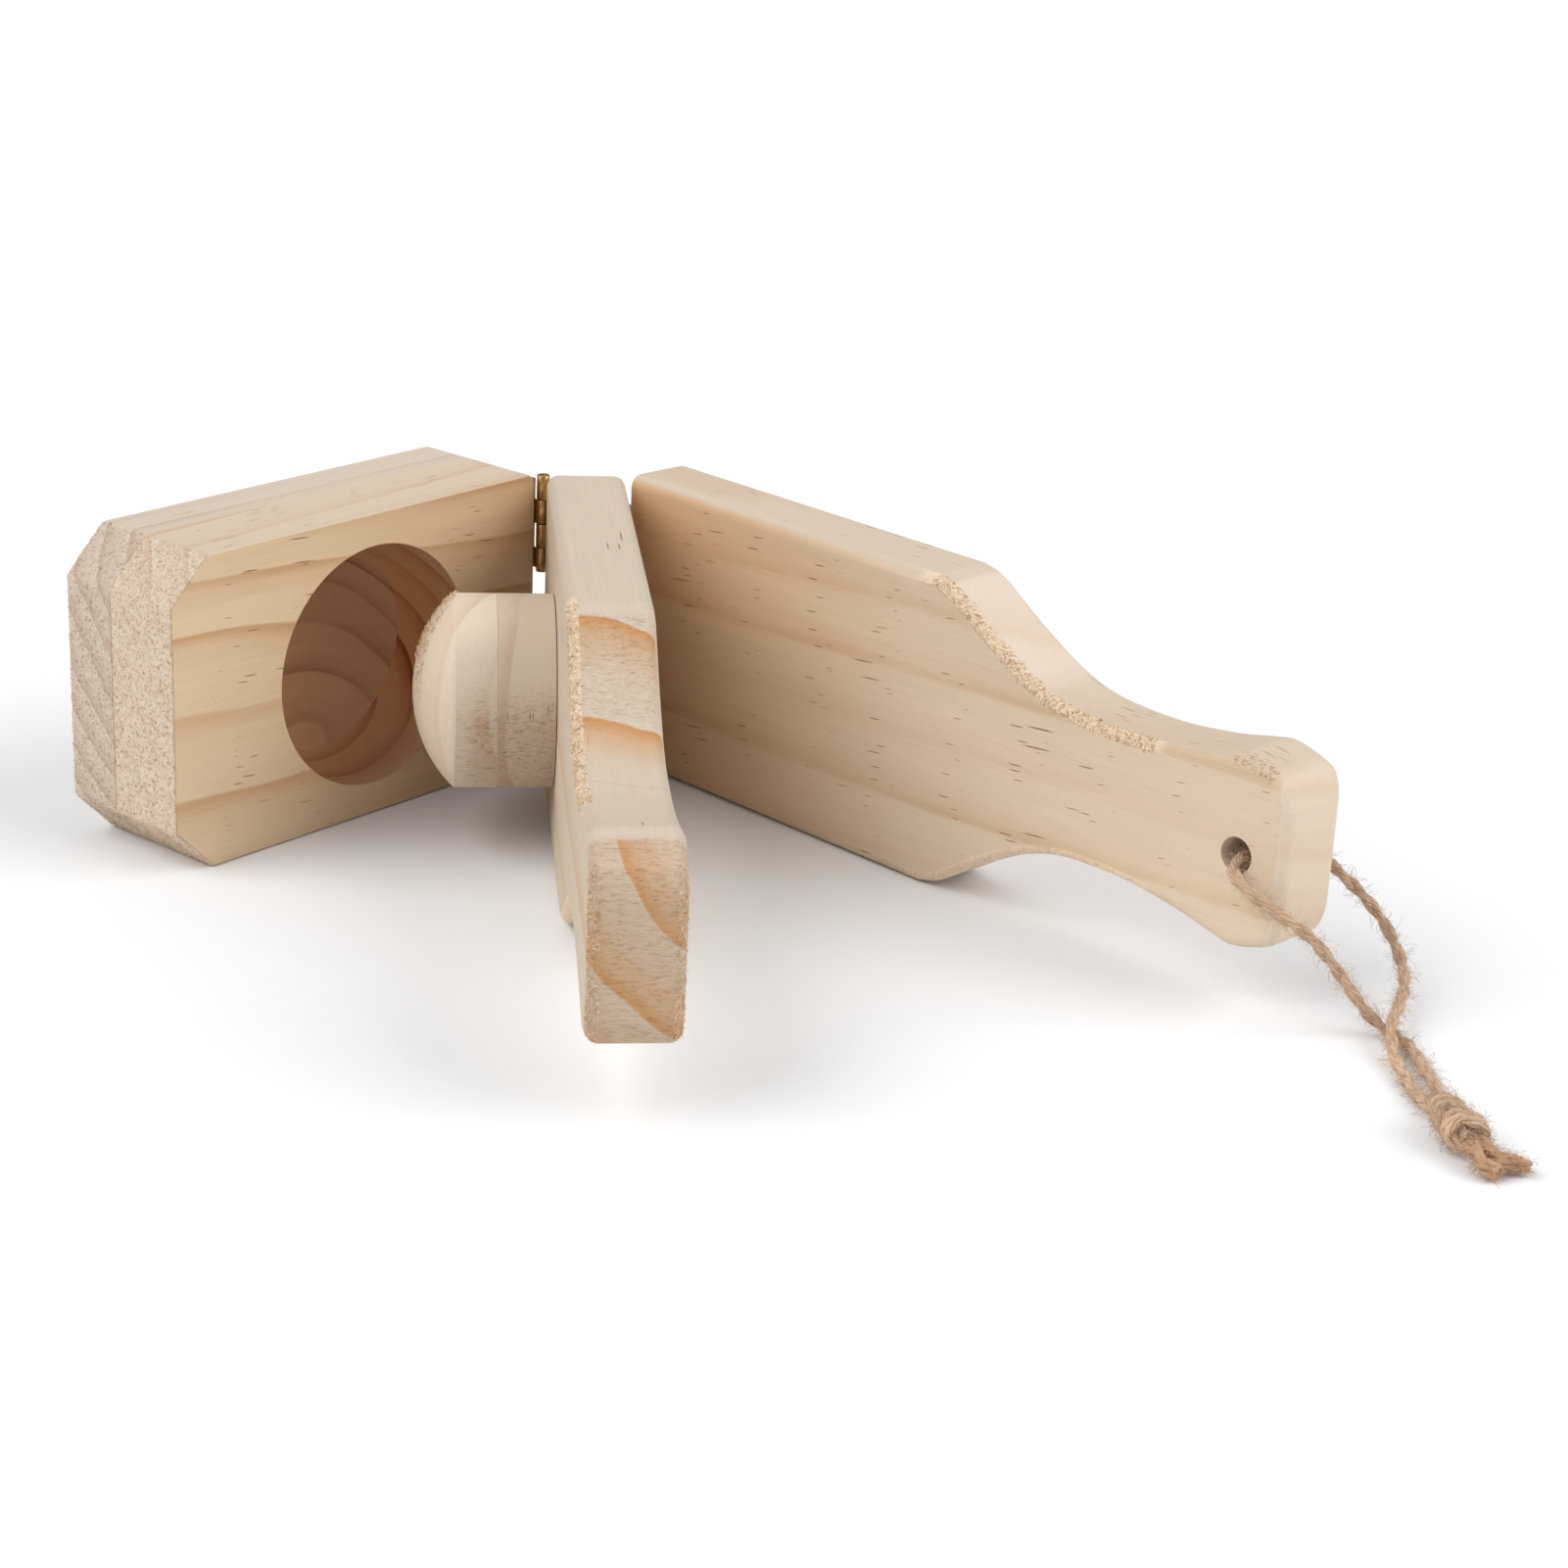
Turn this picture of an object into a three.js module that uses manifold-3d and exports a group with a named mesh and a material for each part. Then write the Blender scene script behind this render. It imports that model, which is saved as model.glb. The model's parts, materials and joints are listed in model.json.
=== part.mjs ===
// A wooden plantain press: a cup block and two paddles, joined end to end by brass butt hinges.
// The three boards stand on their long edges on the plane z = 0, spread like the leaves of a book.
// Units are millimetres, +Z is up. The middle paddle points along -Y and the origin lies on its lower
// edge, straight under the plunger's axis.
import * as THREE from "three";
import { mergeVertices } from "three/addons/utils/BufferGeometryUtils.js";
import Module from "manifold-3d";

const wasm = await Module();
wasm.setup();

// ---- Driving dimensions -----------------------------------------------------------------------

// Paddles
const BOARD_WIDTH = 76; // long edge to long edge, the same for all three boards
const PADDLE_LENGTH = 208;
const PADDLE_THICKNESS = 19.5;
const BODY_LENGTH = 104.5; // the straight, wide part of a paddle
const NECK_WIDTH = 34.5;
const FLARE_WIDTH = 44; // the handle's widest place, near its end
const HANDLE_DROP = 1; // the handle's centre line lies this far below the body's
const HANDLE_CORNER = 9; // radius of the two corners at the handle's end
const PADDLE_EDGE_ROUND = 3;

// Cup block, glued up from two boards
const BLOCK_LENGTH = 116.3;
const BLOCK_THICKNESS = 37.5;
const INNER_BOARD_THICKNESS = 21.3;
const BLOCK_CHAMFER = 10.8;
const BLOCK_HINGE_CORNER = 3;
const OUTER_BOARD_OVERHANG = 0.6; // the outer board ends this far past the inner one

// Cup and plunger
const PRESS_STATION = 54; // from the hinge end of a board to the axis of cup and plunger
const CUP_DIAMETER = 60;
const CUP_FLOOR = 3.5; // wood left under the deepest point of the cup
const CUP_SQUARENESS = 3; // exponent of the bowl's profile: 2 is an ellipse, more is fuller
const CUP_SIDE_ROOM = 7; // radial, left round the plunger for the mashed plantain
const CUP_END_ROOM = 2.4; // between the dome and the cup's floor when the block is closed
const PLUNGER_DOME = 9.7;
const PLUNGER_BASE_PLY = 13.6;

// Hinges
const HINGE_LENGTH = 25;
const CUP_HINGE_INSET = 0.5; // from a board's long edge to the end of the hinge
const PLAIN_HINGE_INSET = 8; // set lower, so the closed corner of the plain paddle hides it
const LEAF_REACH = 8.5; // from the pin's axis to the far edge of a leaf
const LEAF_THICKNESS = 0.9;
const BARREL_DIAMETER = 3.2;
const PIN_DIAMETER = 1.5;
const KNUCKLES = 4;
const SCREW_REACH = 5; // from the pin's axis to a screw
const SCREW_SPACING = 12.5;
const SCREW_LENGTH = 12;
const SCREW_SHANK = 2.2;
const SCREW_HEAD = 4.2;

// How far each outer board stands open from the middle paddle, in degrees
const BLOCK_OPEN = 46.4;
const PADDLE_OPEN = 38;

// Hanging cord
const CORD_DIAMETER = 3;
const CORD_HOLE_DIAMETER = 8;
const CORD_HOLE_FROM_END = 12.6;

// Clearances
const GLUE_GAP = 0.2; // between two glued faces
const SEAT_GAP = 0.3; // between a hinge leaf and the wood behind it
const PIN_TO_FACE = 0.8; // from the cup block's pin to the face of the board beside it
const PLAIN_PIN_TO_FACE = 0.2; // from the plain paddle's pin to the face of the board beside it
const PIN_CLEARANCE = 0.05; // radial, a pin in its knuckles
const KNUCKLE_GAP = 0.2; // between two knuckles
const SCREW_GAP = 0.2; // around a screw, in the leaf and in the wood

// ---- Derived sizes ----------------------------------------------------------------------------

const HALF_WIDTH = BOARD_WIDTH / 2;
const HANDLE_LENGTH = PADDLE_LENGTH - BODY_LENGTH;
const BARREL_RADIUS = BARREL_DIAMETER / 2;
const PIN_TO_END = BARREL_RADIUS + SEAT_GAP; // a leaf is tangent to its barrel and lies on the end face
const CUP_PIN_X = PADDLE_THICKNESS / 2 + PIN_TO_FACE; // left of the middle paddle's own middle
const PLAIN_PIN_X = PADDLE_THICKNESS / 2 + PLAIN_PIN_TO_FACE; // right of it
const PIN_Y = PRESS_STATION + PIN_TO_END;
const CUP_DEPTH = BLOCK_THICKNESS - CUP_FLOOR;
const PLUNGER_DIAMETER = CUP_DIAMETER - 2 * CUP_SIDE_ROOM;
const PLUNGER_REACH = CUP_DEPTH + 2 * PIN_TO_FACE - CUP_END_ROOM; // from the paddle's face
const PLUNGER_SHOULDER = PLUNGER_REACH - PLUNGER_DOME; // where the dome starts
const KNUCKLE_PITCH = HINGE_LENGTH / KNUCKLES;
const LEAF_OUTER_Y = LEAF_THICKNESS - BARREL_RADIUS; // the leaf's exposed face, from the pin's axis

// ---- Solids -----------------------------------------------------------------------------------

function toSolid(geometry) {
  const bare = geometry.clone();
  bare.deleteAttribute("normal");
  bare.deleteAttribute("uv");
  const merged = mergeVertices(bare, 1e-4);
  return new wasm.Manifold(
    new wasm.Mesh({
      numProp: 3,
      vertProperties: new Float32Array(merged.attributes.position.array),
      triVerts: new Uint32Array(merged.index.array),
    }),
  );
}

function toGeometry(solid) {
  const mesh = solid.getMesh();
  const geometry = new THREE.BufferGeometry();
  geometry.setAttribute("position", new THREE.BufferAttribute(new Float32Array(mesh.vertProperties), 3));
  geometry.setIndex(new THREE.BufferAttribute(new Uint32Array(mesh.triVerts), 1));
  geometry.computeVertexNormals();
  return geometry;
}

// Takes a list of cutter geometries away from a body geometry.
function cut(body, cutters) {
  let solid = toSolid(body);
  for (const cutter of cutters) solid = solid.subtract(toSolid(cutter));
  return toGeometry(solid);
}

function boxBetween(low, high) {
  const size = high.map((value, i) => value - low[i]);
  return new THREE.BoxGeometry(...size).translate(...low.map((value, i) => value + size[i] / 2));
}

// A round bar along X, Y or Z, from one point along that axis to another.
function bar(axis, radius, from, to, sides, centre) {
  const geometry = new THREE.CylinderGeometry(radius, radius, to - from, sides);
  if (axis === "x") geometry.rotateZ(Math.PI / 2);
  if (axis === "z") geometry.rotateX(Math.PI / 2);
  const middle = (from + to) / 2;
  const at = { x: [middle, ...centre], y: [centre[0], middle, centre[1]], z: [...centre, middle] };
  return geometry.translate(...at[axis]);
}

// A flat outline, drawn as distance from the hinge end and height above z = 0, given its thickness
// across X. It lies in the closed position, with the pin's axis on x = 0, y = 0.
function board(outline, nearX, farX, edgeRound) {
  const depth = Math.abs(farX - nearX) - 2 * edgeRound;
  const geometry = new THREE.ExtrudeGeometry(outline, {
    depth,
    bevelEnabled: edgeRound > 0,
    bevelThickness: edgeRound,
    bevelSize: edgeRound,
    bevelOffset: -edgeRound,
    bevelSegments: 3,
    curveSegments: 8,
    steps: 1,
  });
  const lengthwise = new THREE.Vector3(0, -1, 0);
  const upwards = new THREE.Vector3(0, 0, 1);
  const across = new THREE.Vector3(-1, 0, 0);
  geometry.applyMatrix4(new THREE.Matrix4().makeBasis(lengthwise, upwards, across));
  return geometry.translate(Math.max(nearX, farX) - edgeRound, -PIN_TO_END, 0);
}

// A profile of [radius, distance] pairs turned about an axis that runs towards -X from a given x.
function turned(profile, sides, x, y, z) {
  const points = profile.map(([radius, along]) => new THREE.Vector2(radius, along));
  return new THREE.LatheGeometry(points, sides).rotateZ(Math.PI / 2).translate(x, y, z);
}

// ---- Paddle -----------------------------------------------------------------------------------

// Places along the handle as fractions of its length, with the half width there: first as a fraction
// of the way from neck to body, then as a fraction of the way from neck to flare.
const SHOULDER = [[0.05, 0.91], [0.15, 0.59], [0.225, 0.37], [0.3, 0.18], [0.38, 0.05], [0.47, 0]];
const FLARE = [[0.6, 0.02], [0.74, 0.42], [0.83, 0.86], [0.885, 1]];

function paddleOutline() {
  const neck = NECK_WIDTH / 2;
  const flare = FLARE_WIDTH / 2;
  const blankStart = -2 * PADDLE_EDGE_ROUND; // trimmed off again square, so that the end has no round
  const side = [new THREE.Vector2(BODY_LENGTH - 1, HALF_WIDTH)];
  for (const [along, share] of SHOULDER) {
    const half = neck + (HALF_WIDTH - neck) * share;
    side.push(new THREE.Vector2(BODY_LENGTH + along * HANDLE_LENGTH, half));
  }
  for (const [along, share] of FLARE) {
    const half = neck + (flare - neck) * share;
    side.push(new THREE.Vector2(BODY_LENGTH + along * HANDLE_LENGTH, half));
  }
  for (const degrees of [50, 25, 0]) {
    const turn = THREE.MathUtils.degToRad(degrees);
    const u = PADDLE_LENGTH - HANDLE_CORNER * (1 - Math.cos(turn));
    side.push(new THREE.Vector2(u, flare - HANDLE_CORNER * (1 - Math.sin(turn)) - 0.6));
  }
  const curve = new THREE.SplineCurve(side).getPoints(44);
  const centre = (u) => HALF_WIDTH - HANDLE_DROP * THREE.MathUtils.smoothstep(u, BODY_LENGTH, PADDLE_LENGTH);
  const outline = new THREE.Shape();
  outline.moveTo(blankStart, 0);
  for (const point of curve) outline.lineTo(point.x, centre(point.x) - point.y);
  for (const point of curve.reverse()) outline.lineTo(point.x, centre(point.x) + point.y);
  outline.lineTo(blankStart, BOARD_WIDTH);
  outline.closePath();
  return outline;
}

// A paddle's solid between two values of x, trimmed square at the hinge end.
function paddleGeometry(nearX, farX, cutters) {
  const body = board(paddleOutline(), nearX, farX, PADDLE_EDGE_ROUND);
  const waste = boxBetween([-60, -PIN_TO_END, -10], [60, 60, BOARD_WIDTH + 10]);
  return cut(body, [waste, ...cutters]);
}

// ---- Cup block --------------------------------------------------------------------------------

function blockOutline(length) {
  const corner = BLOCK_HINGE_CORNER;
  const outline = new THREE.Shape();
  outline.moveTo(corner, 0);
  outline.lineTo(length - BLOCK_CHAMFER, 0);
  outline.lineTo(length, BLOCK_CHAMFER);
  outline.lineTo(length, BOARD_WIDTH - BLOCK_CHAMFER);
  outline.lineTo(length - BLOCK_CHAMFER, BOARD_WIDTH);
  outline.lineTo(corner, BOARD_WIDTH);
  outline.absarc(corner, BOARD_WIDTH - corner, corner, Math.PI / 2, Math.PI, false);
  outline.absarc(corner, corner, corner, Math.PI, 1.5 * Math.PI, false);
  return outline;
}

// The waste turned out of the cup: a straight mouth, then a bowl that ends in a flat-bottomed curve.
function cupWaste(faceX) {
  const radius = CUP_DIAMETER / 2;
  const mouth = 2;
  const profile = [[0, -mouth], [radius, -mouth]];
  const steps = 14;
  for (let i = 0; i < steps; i += 1) {
    const turn = (i / steps) * (Math.PI / 2);
    const power = 2 / CUP_SQUARENESS;
    profile.push([radius * Math.cos(turn) ** power, CUP_DEPTH * Math.sin(turn) ** power]);
  }
  profile.push([0, CUP_DEPTH]);
  return turned(profile, 56, faceX, -PIN_TO_END - PRESS_STATION, HALF_WIDTH);
}

// ---- Plunger ----------------------------------------------------------------------------------

// Both plies are turned about the plunger's axis, measured outwards from the paddle's face.
function plungerBase() {
  const radius = PLUNGER_DIAMETER / 2;
  return [[0, GLUE_GAP], [radius, GLUE_GAP], [radius, PLUNGER_BASE_PLY], [0, PLUNGER_BASE_PLY]];
}

function plungerTip() {
  const radius = PLUNGER_DIAMETER / 2;
  const sphere = (radius ** 2 + PLUNGER_DOME ** 2) / (2 * PLUNGER_DOME);
  const start = PLUNGER_BASE_PLY + GLUE_GAP;
  const profile = [[0, start], [radius, start], [radius, PLUNGER_SHOULDER]];
  const steps = 8;
  for (let i = 1; i < steps; i += 1) {
    const across = radius * (1 - i / steps);
    const height = Math.sqrt(sphere ** 2 - across ** 2) - (sphere - PLUNGER_DOME);
    profile.push([across, PLUNGER_SHOULDER + height]);
  }
  profile.push([0, PLUNGER_REACH]);
  return profile;
}

// ---- Hinge ------------------------------------------------------------------------------------

// All hinge pieces sit with the pin's axis on x = 0, y = 0. A leaf reaches towards +X for side 1 and
// towards -X for side -1. Leaf and knuckles are one piece of folded brass.
function leafGeometry(side, lowZ, ownsTopKnuckle) {
  const flip = (a, b) => (side > 0 ? [a, b] : [-b, -a]);
  const [plateLow, plateHigh] = flip(0, LEAF_REACH);
  const plate = boxBetween(
    [plateLow, -BARREL_RADIUS, lowZ],
    [plateHigh, LEAF_OUTER_Y, lowZ + HINGE_LENGTH],
  );
  let solid = toSolid(plate);
  for (let i = 0; i < KNUCKLES; i += 1) {
    const from = lowZ + i * KNUCKLE_PITCH;
    const fromTop = KNUCKLES - 1 - i;
    const own = (fromTop % 2 === 0) === ownsTopKnuckle;
    if (own) {
      const low = from + (i === 0 ? 0 : KNUCKLE_GAP / 2);
      const high = from + KNUCKLE_PITCH - (fromTop === 0 ? 0 : KNUCKLE_GAP / 2);
      solid = solid.add(toSolid(bar("z", BARREL_RADIUS, low, high, 20, [0, 0])));
    } else {
      const [notchLow, notchHigh] = flip(-1, BARREL_RADIUS + 0.35);
      const low = from - (i === 0 ? 1 : KNUCKLE_GAP / 2);
      const high = from + KNUCKLE_PITCH + (fromTop === 0 ? 1 : KNUCKLE_GAP / 2);
      const notch = boxBetween([notchLow, -BARREL_RADIUS - 1, low], [notchHigh, BARREL_RADIUS, high]);
      solid = solid.subtract(toSolid(notch));
    }
  }
  const bore = bar("z", PIN_DIAMETER / 2 + PIN_CLEARANCE, lowZ - 1, lowZ + HINGE_LENGTH + 1, 16, [0, 0]);
  solid = solid.subtract(toSolid(bore));
  for (const z of screwHeights(lowZ)) {
    solid = solid.subtract(toSolid(screwShape(side * SCREW_REACH, z, SCREW_GAP)));
  }
  return toGeometry(solid);
}

function screwHeights(lowZ) {
  const middle = lowZ + HINGE_LENGTH / 2;
  return [middle - SCREW_SPACING / 2, middle + SCREW_SPACING / 2];
}

// A countersunk screw driven along -Y, or the hole it leaves when made larger all round.
function screwShape(x, z, larger) {
  const head = SCREW_HEAD / 2 + larger;
  const shank = SCREW_SHANK / 2 + larger;
  const point = SCREW_LENGTH + larger;
  const above = larger > 0 ? 0.5 : 0; // a hole runs on past the surface
  const profile = [[0, -point], [shank * 0.4, -point], [shank, -point + 2], [shank, -LEAF_THICKNESS]];
  profile.push([head, 0]);
  if (above > 0) profile.push([head, above]);
  profile.push([0, above]);
  const points = profile.map(([radius, along]) => new THREE.Vector2(radius, along));
  return new THREE.LatheGeometry(points, 12).translate(x, LEAF_OUTER_Y - 0.05, z);
}

const hingePlaces = (inset) => [
  ["lower", inset],
  ["upper", BOARD_WIDTH - inset - HINGE_LENGTH],
];

// The screw holes that the leaves of one pin line's two hinges leave in a board.
function screwHoles(side, offsetX, inset) {
  const holes = [];
  for (const [, lowZ] of hingePlaces(inset)) {
    for (const z of screwHeights(lowZ)) {
      holes.push(screwShape(side * SCREW_REACH, z, SCREW_GAP).translate(offsetX, 0, 0));
    }
  }
  return holes;
}

// ---- Cord -------------------------------------------------------------------------------------

// Centre lines on the object's own frame: from inside the hole in the plain paddle's handle, along
// one side of the loop, down to the knot.
const FRONT_STRAND = [
  [138.3, -94.1, 35.2],
  [132.3, -98.8, 34.9],
  [130.7, -104.6, 33.4],
  [136.5, -112.2, 29.6],
  [146.3, -113.0, 22.6],
  [154.3, -112.6, 13.0],
  [159.9, -112.3, 5.6],
  [164.5, -113.6, 1.8],
  [167.1, -119.9, 1.6],
  [167.5, -128.4, 1.6],
  [167.3, -138.4, 1.6],
  [166.9, -147.4, 1.7],
  [166.3, -155.4, 3.2],
];
const BACK_STRAND = [
  [138.8, -93.7, 35.2],
  [145.2, -88.7, 34.9],
  [152.9, -85.2, 31.6],
  [161.4, -85.9, 25.0],
  [169.1, -87.9, 17.0],
  [172.5, -93.4, 10.4],
  [171.5, -101.9, 7.0],
  [167.9, -110.2, 5.8],
  [164.3, -117.6, 5.0],
  [162.3, -126.4, 2.4],
  [161.9, -136.4, 1.6],
  [162.3, -146.4, 1.7],
  [163.3, -155.4, 3.2],
];
const KNOT_CENTRE = [164.5, -164.9, 4.9];
const KNOT_HALF_LENGTH = 8.5;
const KNOT_RADIUS = 4.8;
const TAILS = {
  cord_tail_near: [[164.3, -174.6, 3.4], [164.1, -178.8, 2.0], [166.5, -182.0, 1.6]],
  cord_tail_far: [[167.3, -172.8, 3.4], [170.5, -176.2, 2.2], [174.7, -177.0, 1.6]],
};

function cordTube(points, steps) {
  const places = points.map((point) => new THREE.Vector3(...point));
  const extrudePath = new THREE.CatmullRomCurve3(places, false, "centripetal");
  const section = new THREE.Shape().absarc(0, 0, CORD_DIAMETER / 2, 0, 2 * Math.PI, false);
  return new THREE.ExtrudeGeometry(section, { steps, curveSegments: 8, bevelEnabled: false, extrudePath });
}

// A fat, waisted lump: the overhand knot drawn tight.
function knotGeometry() {
  const profile = [];
  const steps = 12;
  for (let i = 0; i <= steps; i += 1) {
    const turn = (i / steps) * Math.PI;
    const waist = 1 - 0.12 * Math.sin(turn) ** 8;
    const radius = i === 0 || i === steps ? 0 : KNOT_RADIUS * Math.sin(turn) ** 0.7 * waist;
    profile.push(new THREE.Vector2(radius, -KNOT_HALF_LENGTH * Math.cos(turn)));
  }
  return new THREE.LatheGeometry(profile, 14);
}

// ---- Materials --------------------------------------------------------------------------------

const pine = (color) => () => new THREE.MeshStandardMaterial({ color, roughness: 0.7, metalness: 0 });
const blockPine = pine(0xdcc19a);
const paddlePine = pine(0xdec6a4);
const plungerPine = pine(0xd9bd9c);
const brass = () => new THREE.MeshStandardMaterial({ color: 0xb58a45, roughness: 0.35, metalness: 1 });
const jute = () => new THREE.MeshStandardMaterial({ color: 0xb08a63, roughness: 0.95, metalness: 0 });

function piece(name, geometry, material) {
  const mesh = new THREE.Mesh(geometry, material());
  mesh.name = name;
  return mesh;
}

// ---- Assembly ---------------------------------------------------------------------------------

const press = new THREE.Group();
press.name = "plantain_press";

// Each group stands with its pin's axis on its own z axis; the boards are drawn closed, then turned.
const leftPin = new THREE.Group();
leftPin.name = "left_pin";
leftPin.position.set(-CUP_PIN_X, PIN_Y, 0);
const rightPin = new THREE.Group();
rightPin.name = "right_pin";
rightPin.position.set(PLAIN_PIN_X, PIN_Y, 0);
const cupBlock = new THREE.Group();
cupBlock.name = "cup_block";
cupBlock.rotation.z = -THREE.MathUtils.degToRad(BLOCK_OPEN);
const plainPaddle = new THREE.Group();
plainPaddle.name = "plain_paddle_body";
plainPaddle.rotation.z = THREE.MathUtils.degToRad(PADDLE_OPEN);
leftPin.add(cupBlock);
rightPin.add(plainPaddle);
press.add(leftPin, rightPin);

// Middle paddle, in the left pin's group
const middleHoles = [
  ...screwHoles(1, 0, CUP_HINGE_INSET),
  ...screwHoles(-1, CUP_PIN_X + PLAIN_PIN_X, PLAIN_HINGE_INSET),
];
const middleFaces = [PIN_TO_FACE, PIN_TO_FACE + PADDLE_THICKNESS];
leftPin.add(piece("middle_paddle", paddleGeometry(...middleFaces, middleHoles), paddlePine));

// Plunger on the middle paddle's left face
const plungerAt = [PIN_TO_FACE, -PIN_TO_END - PRESS_STATION, HALF_WIDTH];
leftPin.add(piece("plunger_base", turned(plungerBase(), 48, ...plungerAt), plungerPine));
leftPin.add(piece("plunger_tip", turned(plungerTip(), 48, ...plungerAt), plungerPine));

// Cup block: two boards glued face to face, with one cup turned through both
const glueLine = -PIN_TO_FACE - INNER_BOARD_THICKNESS;
const blockCutters = () => [cupWaste(-PIN_TO_FACE), ...screwHoles(-1, 0, CUP_HINGE_INSET)];
const innerBoard = board(blockOutline(BLOCK_LENGTH), -PIN_TO_FACE, glueLine, 0);
const outerLength = BLOCK_LENGTH + OUTER_BOARD_OVERHANG;
const outerFace = -PIN_TO_FACE - BLOCK_THICKNESS;
const outerBoard = board(blockOutline(outerLength), glueLine - GLUE_GAP, outerFace, 0);
cupBlock.add(piece("cup_block_inner_board", cut(innerBoard, blockCutters()), blockPine));
cupBlock.add(piece("cup_block_outer_board", cut(outerBoard, blockCutters()), blockPine));

// Plain paddle, with the cord's hole through its handle
const holeY = -PIN_TO_END - PADDLE_LENGTH + CORD_HOLE_FROM_END;
const cordHole = bar("x", CORD_HOLE_DIAMETER / 2, -10, 60, 24, [holeY, HALF_WIDTH - 1.5]);
const plainFaces = [PLAIN_PIN_TO_FACE, PLAIN_PIN_TO_FACE + PADDLE_THICKNESS];
const plainHoles = [cordHole, ...screwHoles(1, 0, PLAIN_HINGE_INSET)];
plainPaddle.add(piece("plain_paddle", paddleGeometry(...plainFaces, plainHoles), paddlePine));

// Four hinges, two on each pin line. The middle paddle carries one leaf of each and the pin.
const cupSide = { fixedSide: 1, movingSide: -1, inset: CUP_HINGE_INSET };
const plainSide = { fixedSide: -1, movingSide: 1, inset: PLAIN_HINGE_INSET };
const hingeLines = [
  { label: "cup", fixed: leftPin, moving: cupBlock, ...cupSide },
  { label: "plain", fixed: rightPin, moving: plainPaddle, ...plainSide },
];
for (const { label, fixed, fixedSide, moving, movingSide, inset } of hingeLines) {
  for (const [place, lowZ] of hingePlaces(inset)) {
    const name = `${label}_hinge_${place}`;
    fixed.add(piece(`${name}_fixed_leaf`, leafGeometry(fixedSide, lowZ, true), brass));
    moving.add(piece(`${name}_moving_leaf`, leafGeometry(movingSide, lowZ, false), brass));
    const pin = bar("z", PIN_DIAMETER / 2, lowZ + 0.2, lowZ + HINGE_LENGTH - 0.2, 16, [0, 0]);
    fixed.add(piece(`${name}_pin`, pin, brass));
    screwHeights(lowZ).forEach((z, i) => {
      const fixedScrew = screwShape(fixedSide * SCREW_REACH, z, 0);
      const movingScrew = screwShape(movingSide * SCREW_REACH, z, 0);
      fixed.add(piece(`${name}_fixed_screw_${i + 1}`, fixedScrew, brass));
      moving.add(piece(`${name}_moving_screw_${i + 1}`, movingScrew, brass));
    });
  }
}

// Cord loop: two strands that meet inside the hole, the knot, and the two cut tails
press.add(piece("cord_front_strand", cordTube(FRONT_STRAND, 40), jute));
press.add(piece("cord_back_strand", cordTube(BACK_STRAND, 44), jute));
const knot = piece("cord_knot", knotGeometry(), jute);
knot.position.set(...KNOT_CENTRE);
press.add(knot);
for (const [name, points] of Object.entries(TAILS)) press.add(piece(name, cordTube(points, 8), jute));

export default press;
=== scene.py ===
import json
import math

import bmesh
import bpy
import numpy as np
from mathutils import Matrix, Vector


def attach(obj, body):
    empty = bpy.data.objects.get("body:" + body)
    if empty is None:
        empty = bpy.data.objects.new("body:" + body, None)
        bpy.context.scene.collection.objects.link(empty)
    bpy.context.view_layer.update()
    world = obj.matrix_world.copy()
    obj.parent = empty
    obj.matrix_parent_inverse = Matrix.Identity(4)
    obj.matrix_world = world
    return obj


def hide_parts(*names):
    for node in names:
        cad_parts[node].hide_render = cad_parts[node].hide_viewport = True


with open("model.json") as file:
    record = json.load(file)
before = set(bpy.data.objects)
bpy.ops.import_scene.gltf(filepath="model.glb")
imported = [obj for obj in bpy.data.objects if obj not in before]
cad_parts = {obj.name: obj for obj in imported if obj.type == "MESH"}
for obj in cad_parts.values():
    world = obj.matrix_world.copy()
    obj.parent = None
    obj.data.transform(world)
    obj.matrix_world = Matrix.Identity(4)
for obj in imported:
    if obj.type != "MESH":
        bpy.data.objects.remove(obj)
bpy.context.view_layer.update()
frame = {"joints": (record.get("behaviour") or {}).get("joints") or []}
scene = bpy.context.scene
MM = 0.001

# ---- Sizes in millimetres, as in the part's source ----------------------------------------------

BOARD_WIDTH, PADDLE_LENGTH, PADDLE_THICKNESS = 76, 208, 19.5
BODY_LENGTH, NECK_WIDTH, FLARE_WIDTH = 104.5, 34.5, 44
HANDLE_DROP, HANDLE_CORNER, PADDLE_EDGE_ROUND = 1, 9, 3
BLOCK_LENGTH, BLOCK_THICKNESS, INNER_BOARD_THICKNESS = 116.3, 37.5, 21.3
BLOCK_CHAMFER, BLOCK_HINGE_CORNER, OUTER_BOARD_OVERHANG = 10.8, 3, 0.15
PRESS_STATION, CUP_DIAMETER, CUP_DEPTH, CUP_SQUARENESS = 54, 60, 34, 3
PLUNGER_DIAMETER, PLUNGER_SHOULDER, PLUNGER_DOME, PLUNGER_BASE_PLY = 46, 23.5, 9.7, 13.6
HINGE_LENGTH, CUP_HINGE_INSET, PLAIN_HINGE_INSET = 25, 0.5, 8
LEAF_REACH, LEAF_THICKNESS = 8.5, 0.9
BARREL_RADIUS, PIN_RADIUS, KNUCKLES, KNUCKLE_GAP = 1.6, 0.75, 4, 0.2
SCREW_REACH, SCREW_SPACING, SCREW_HEAD, SCREW_SUNK = 5, 12.5, 4.2, 0.06
CORD_DIAMETER, CORD_HOLE_DIAMETER, CORD_HOLE_FROM_END = 3, 8, 12.6
PIN_TO_FACE, PLAIN_PIN_TO_FACE, PIN_TO_END = 0.8, 0.2, 1.9
BLOCK_OPEN, PADDLE_OPEN = 46.4, 38
GLUE_LINE = 0.03  # the seam that shows between two glued boards
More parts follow.
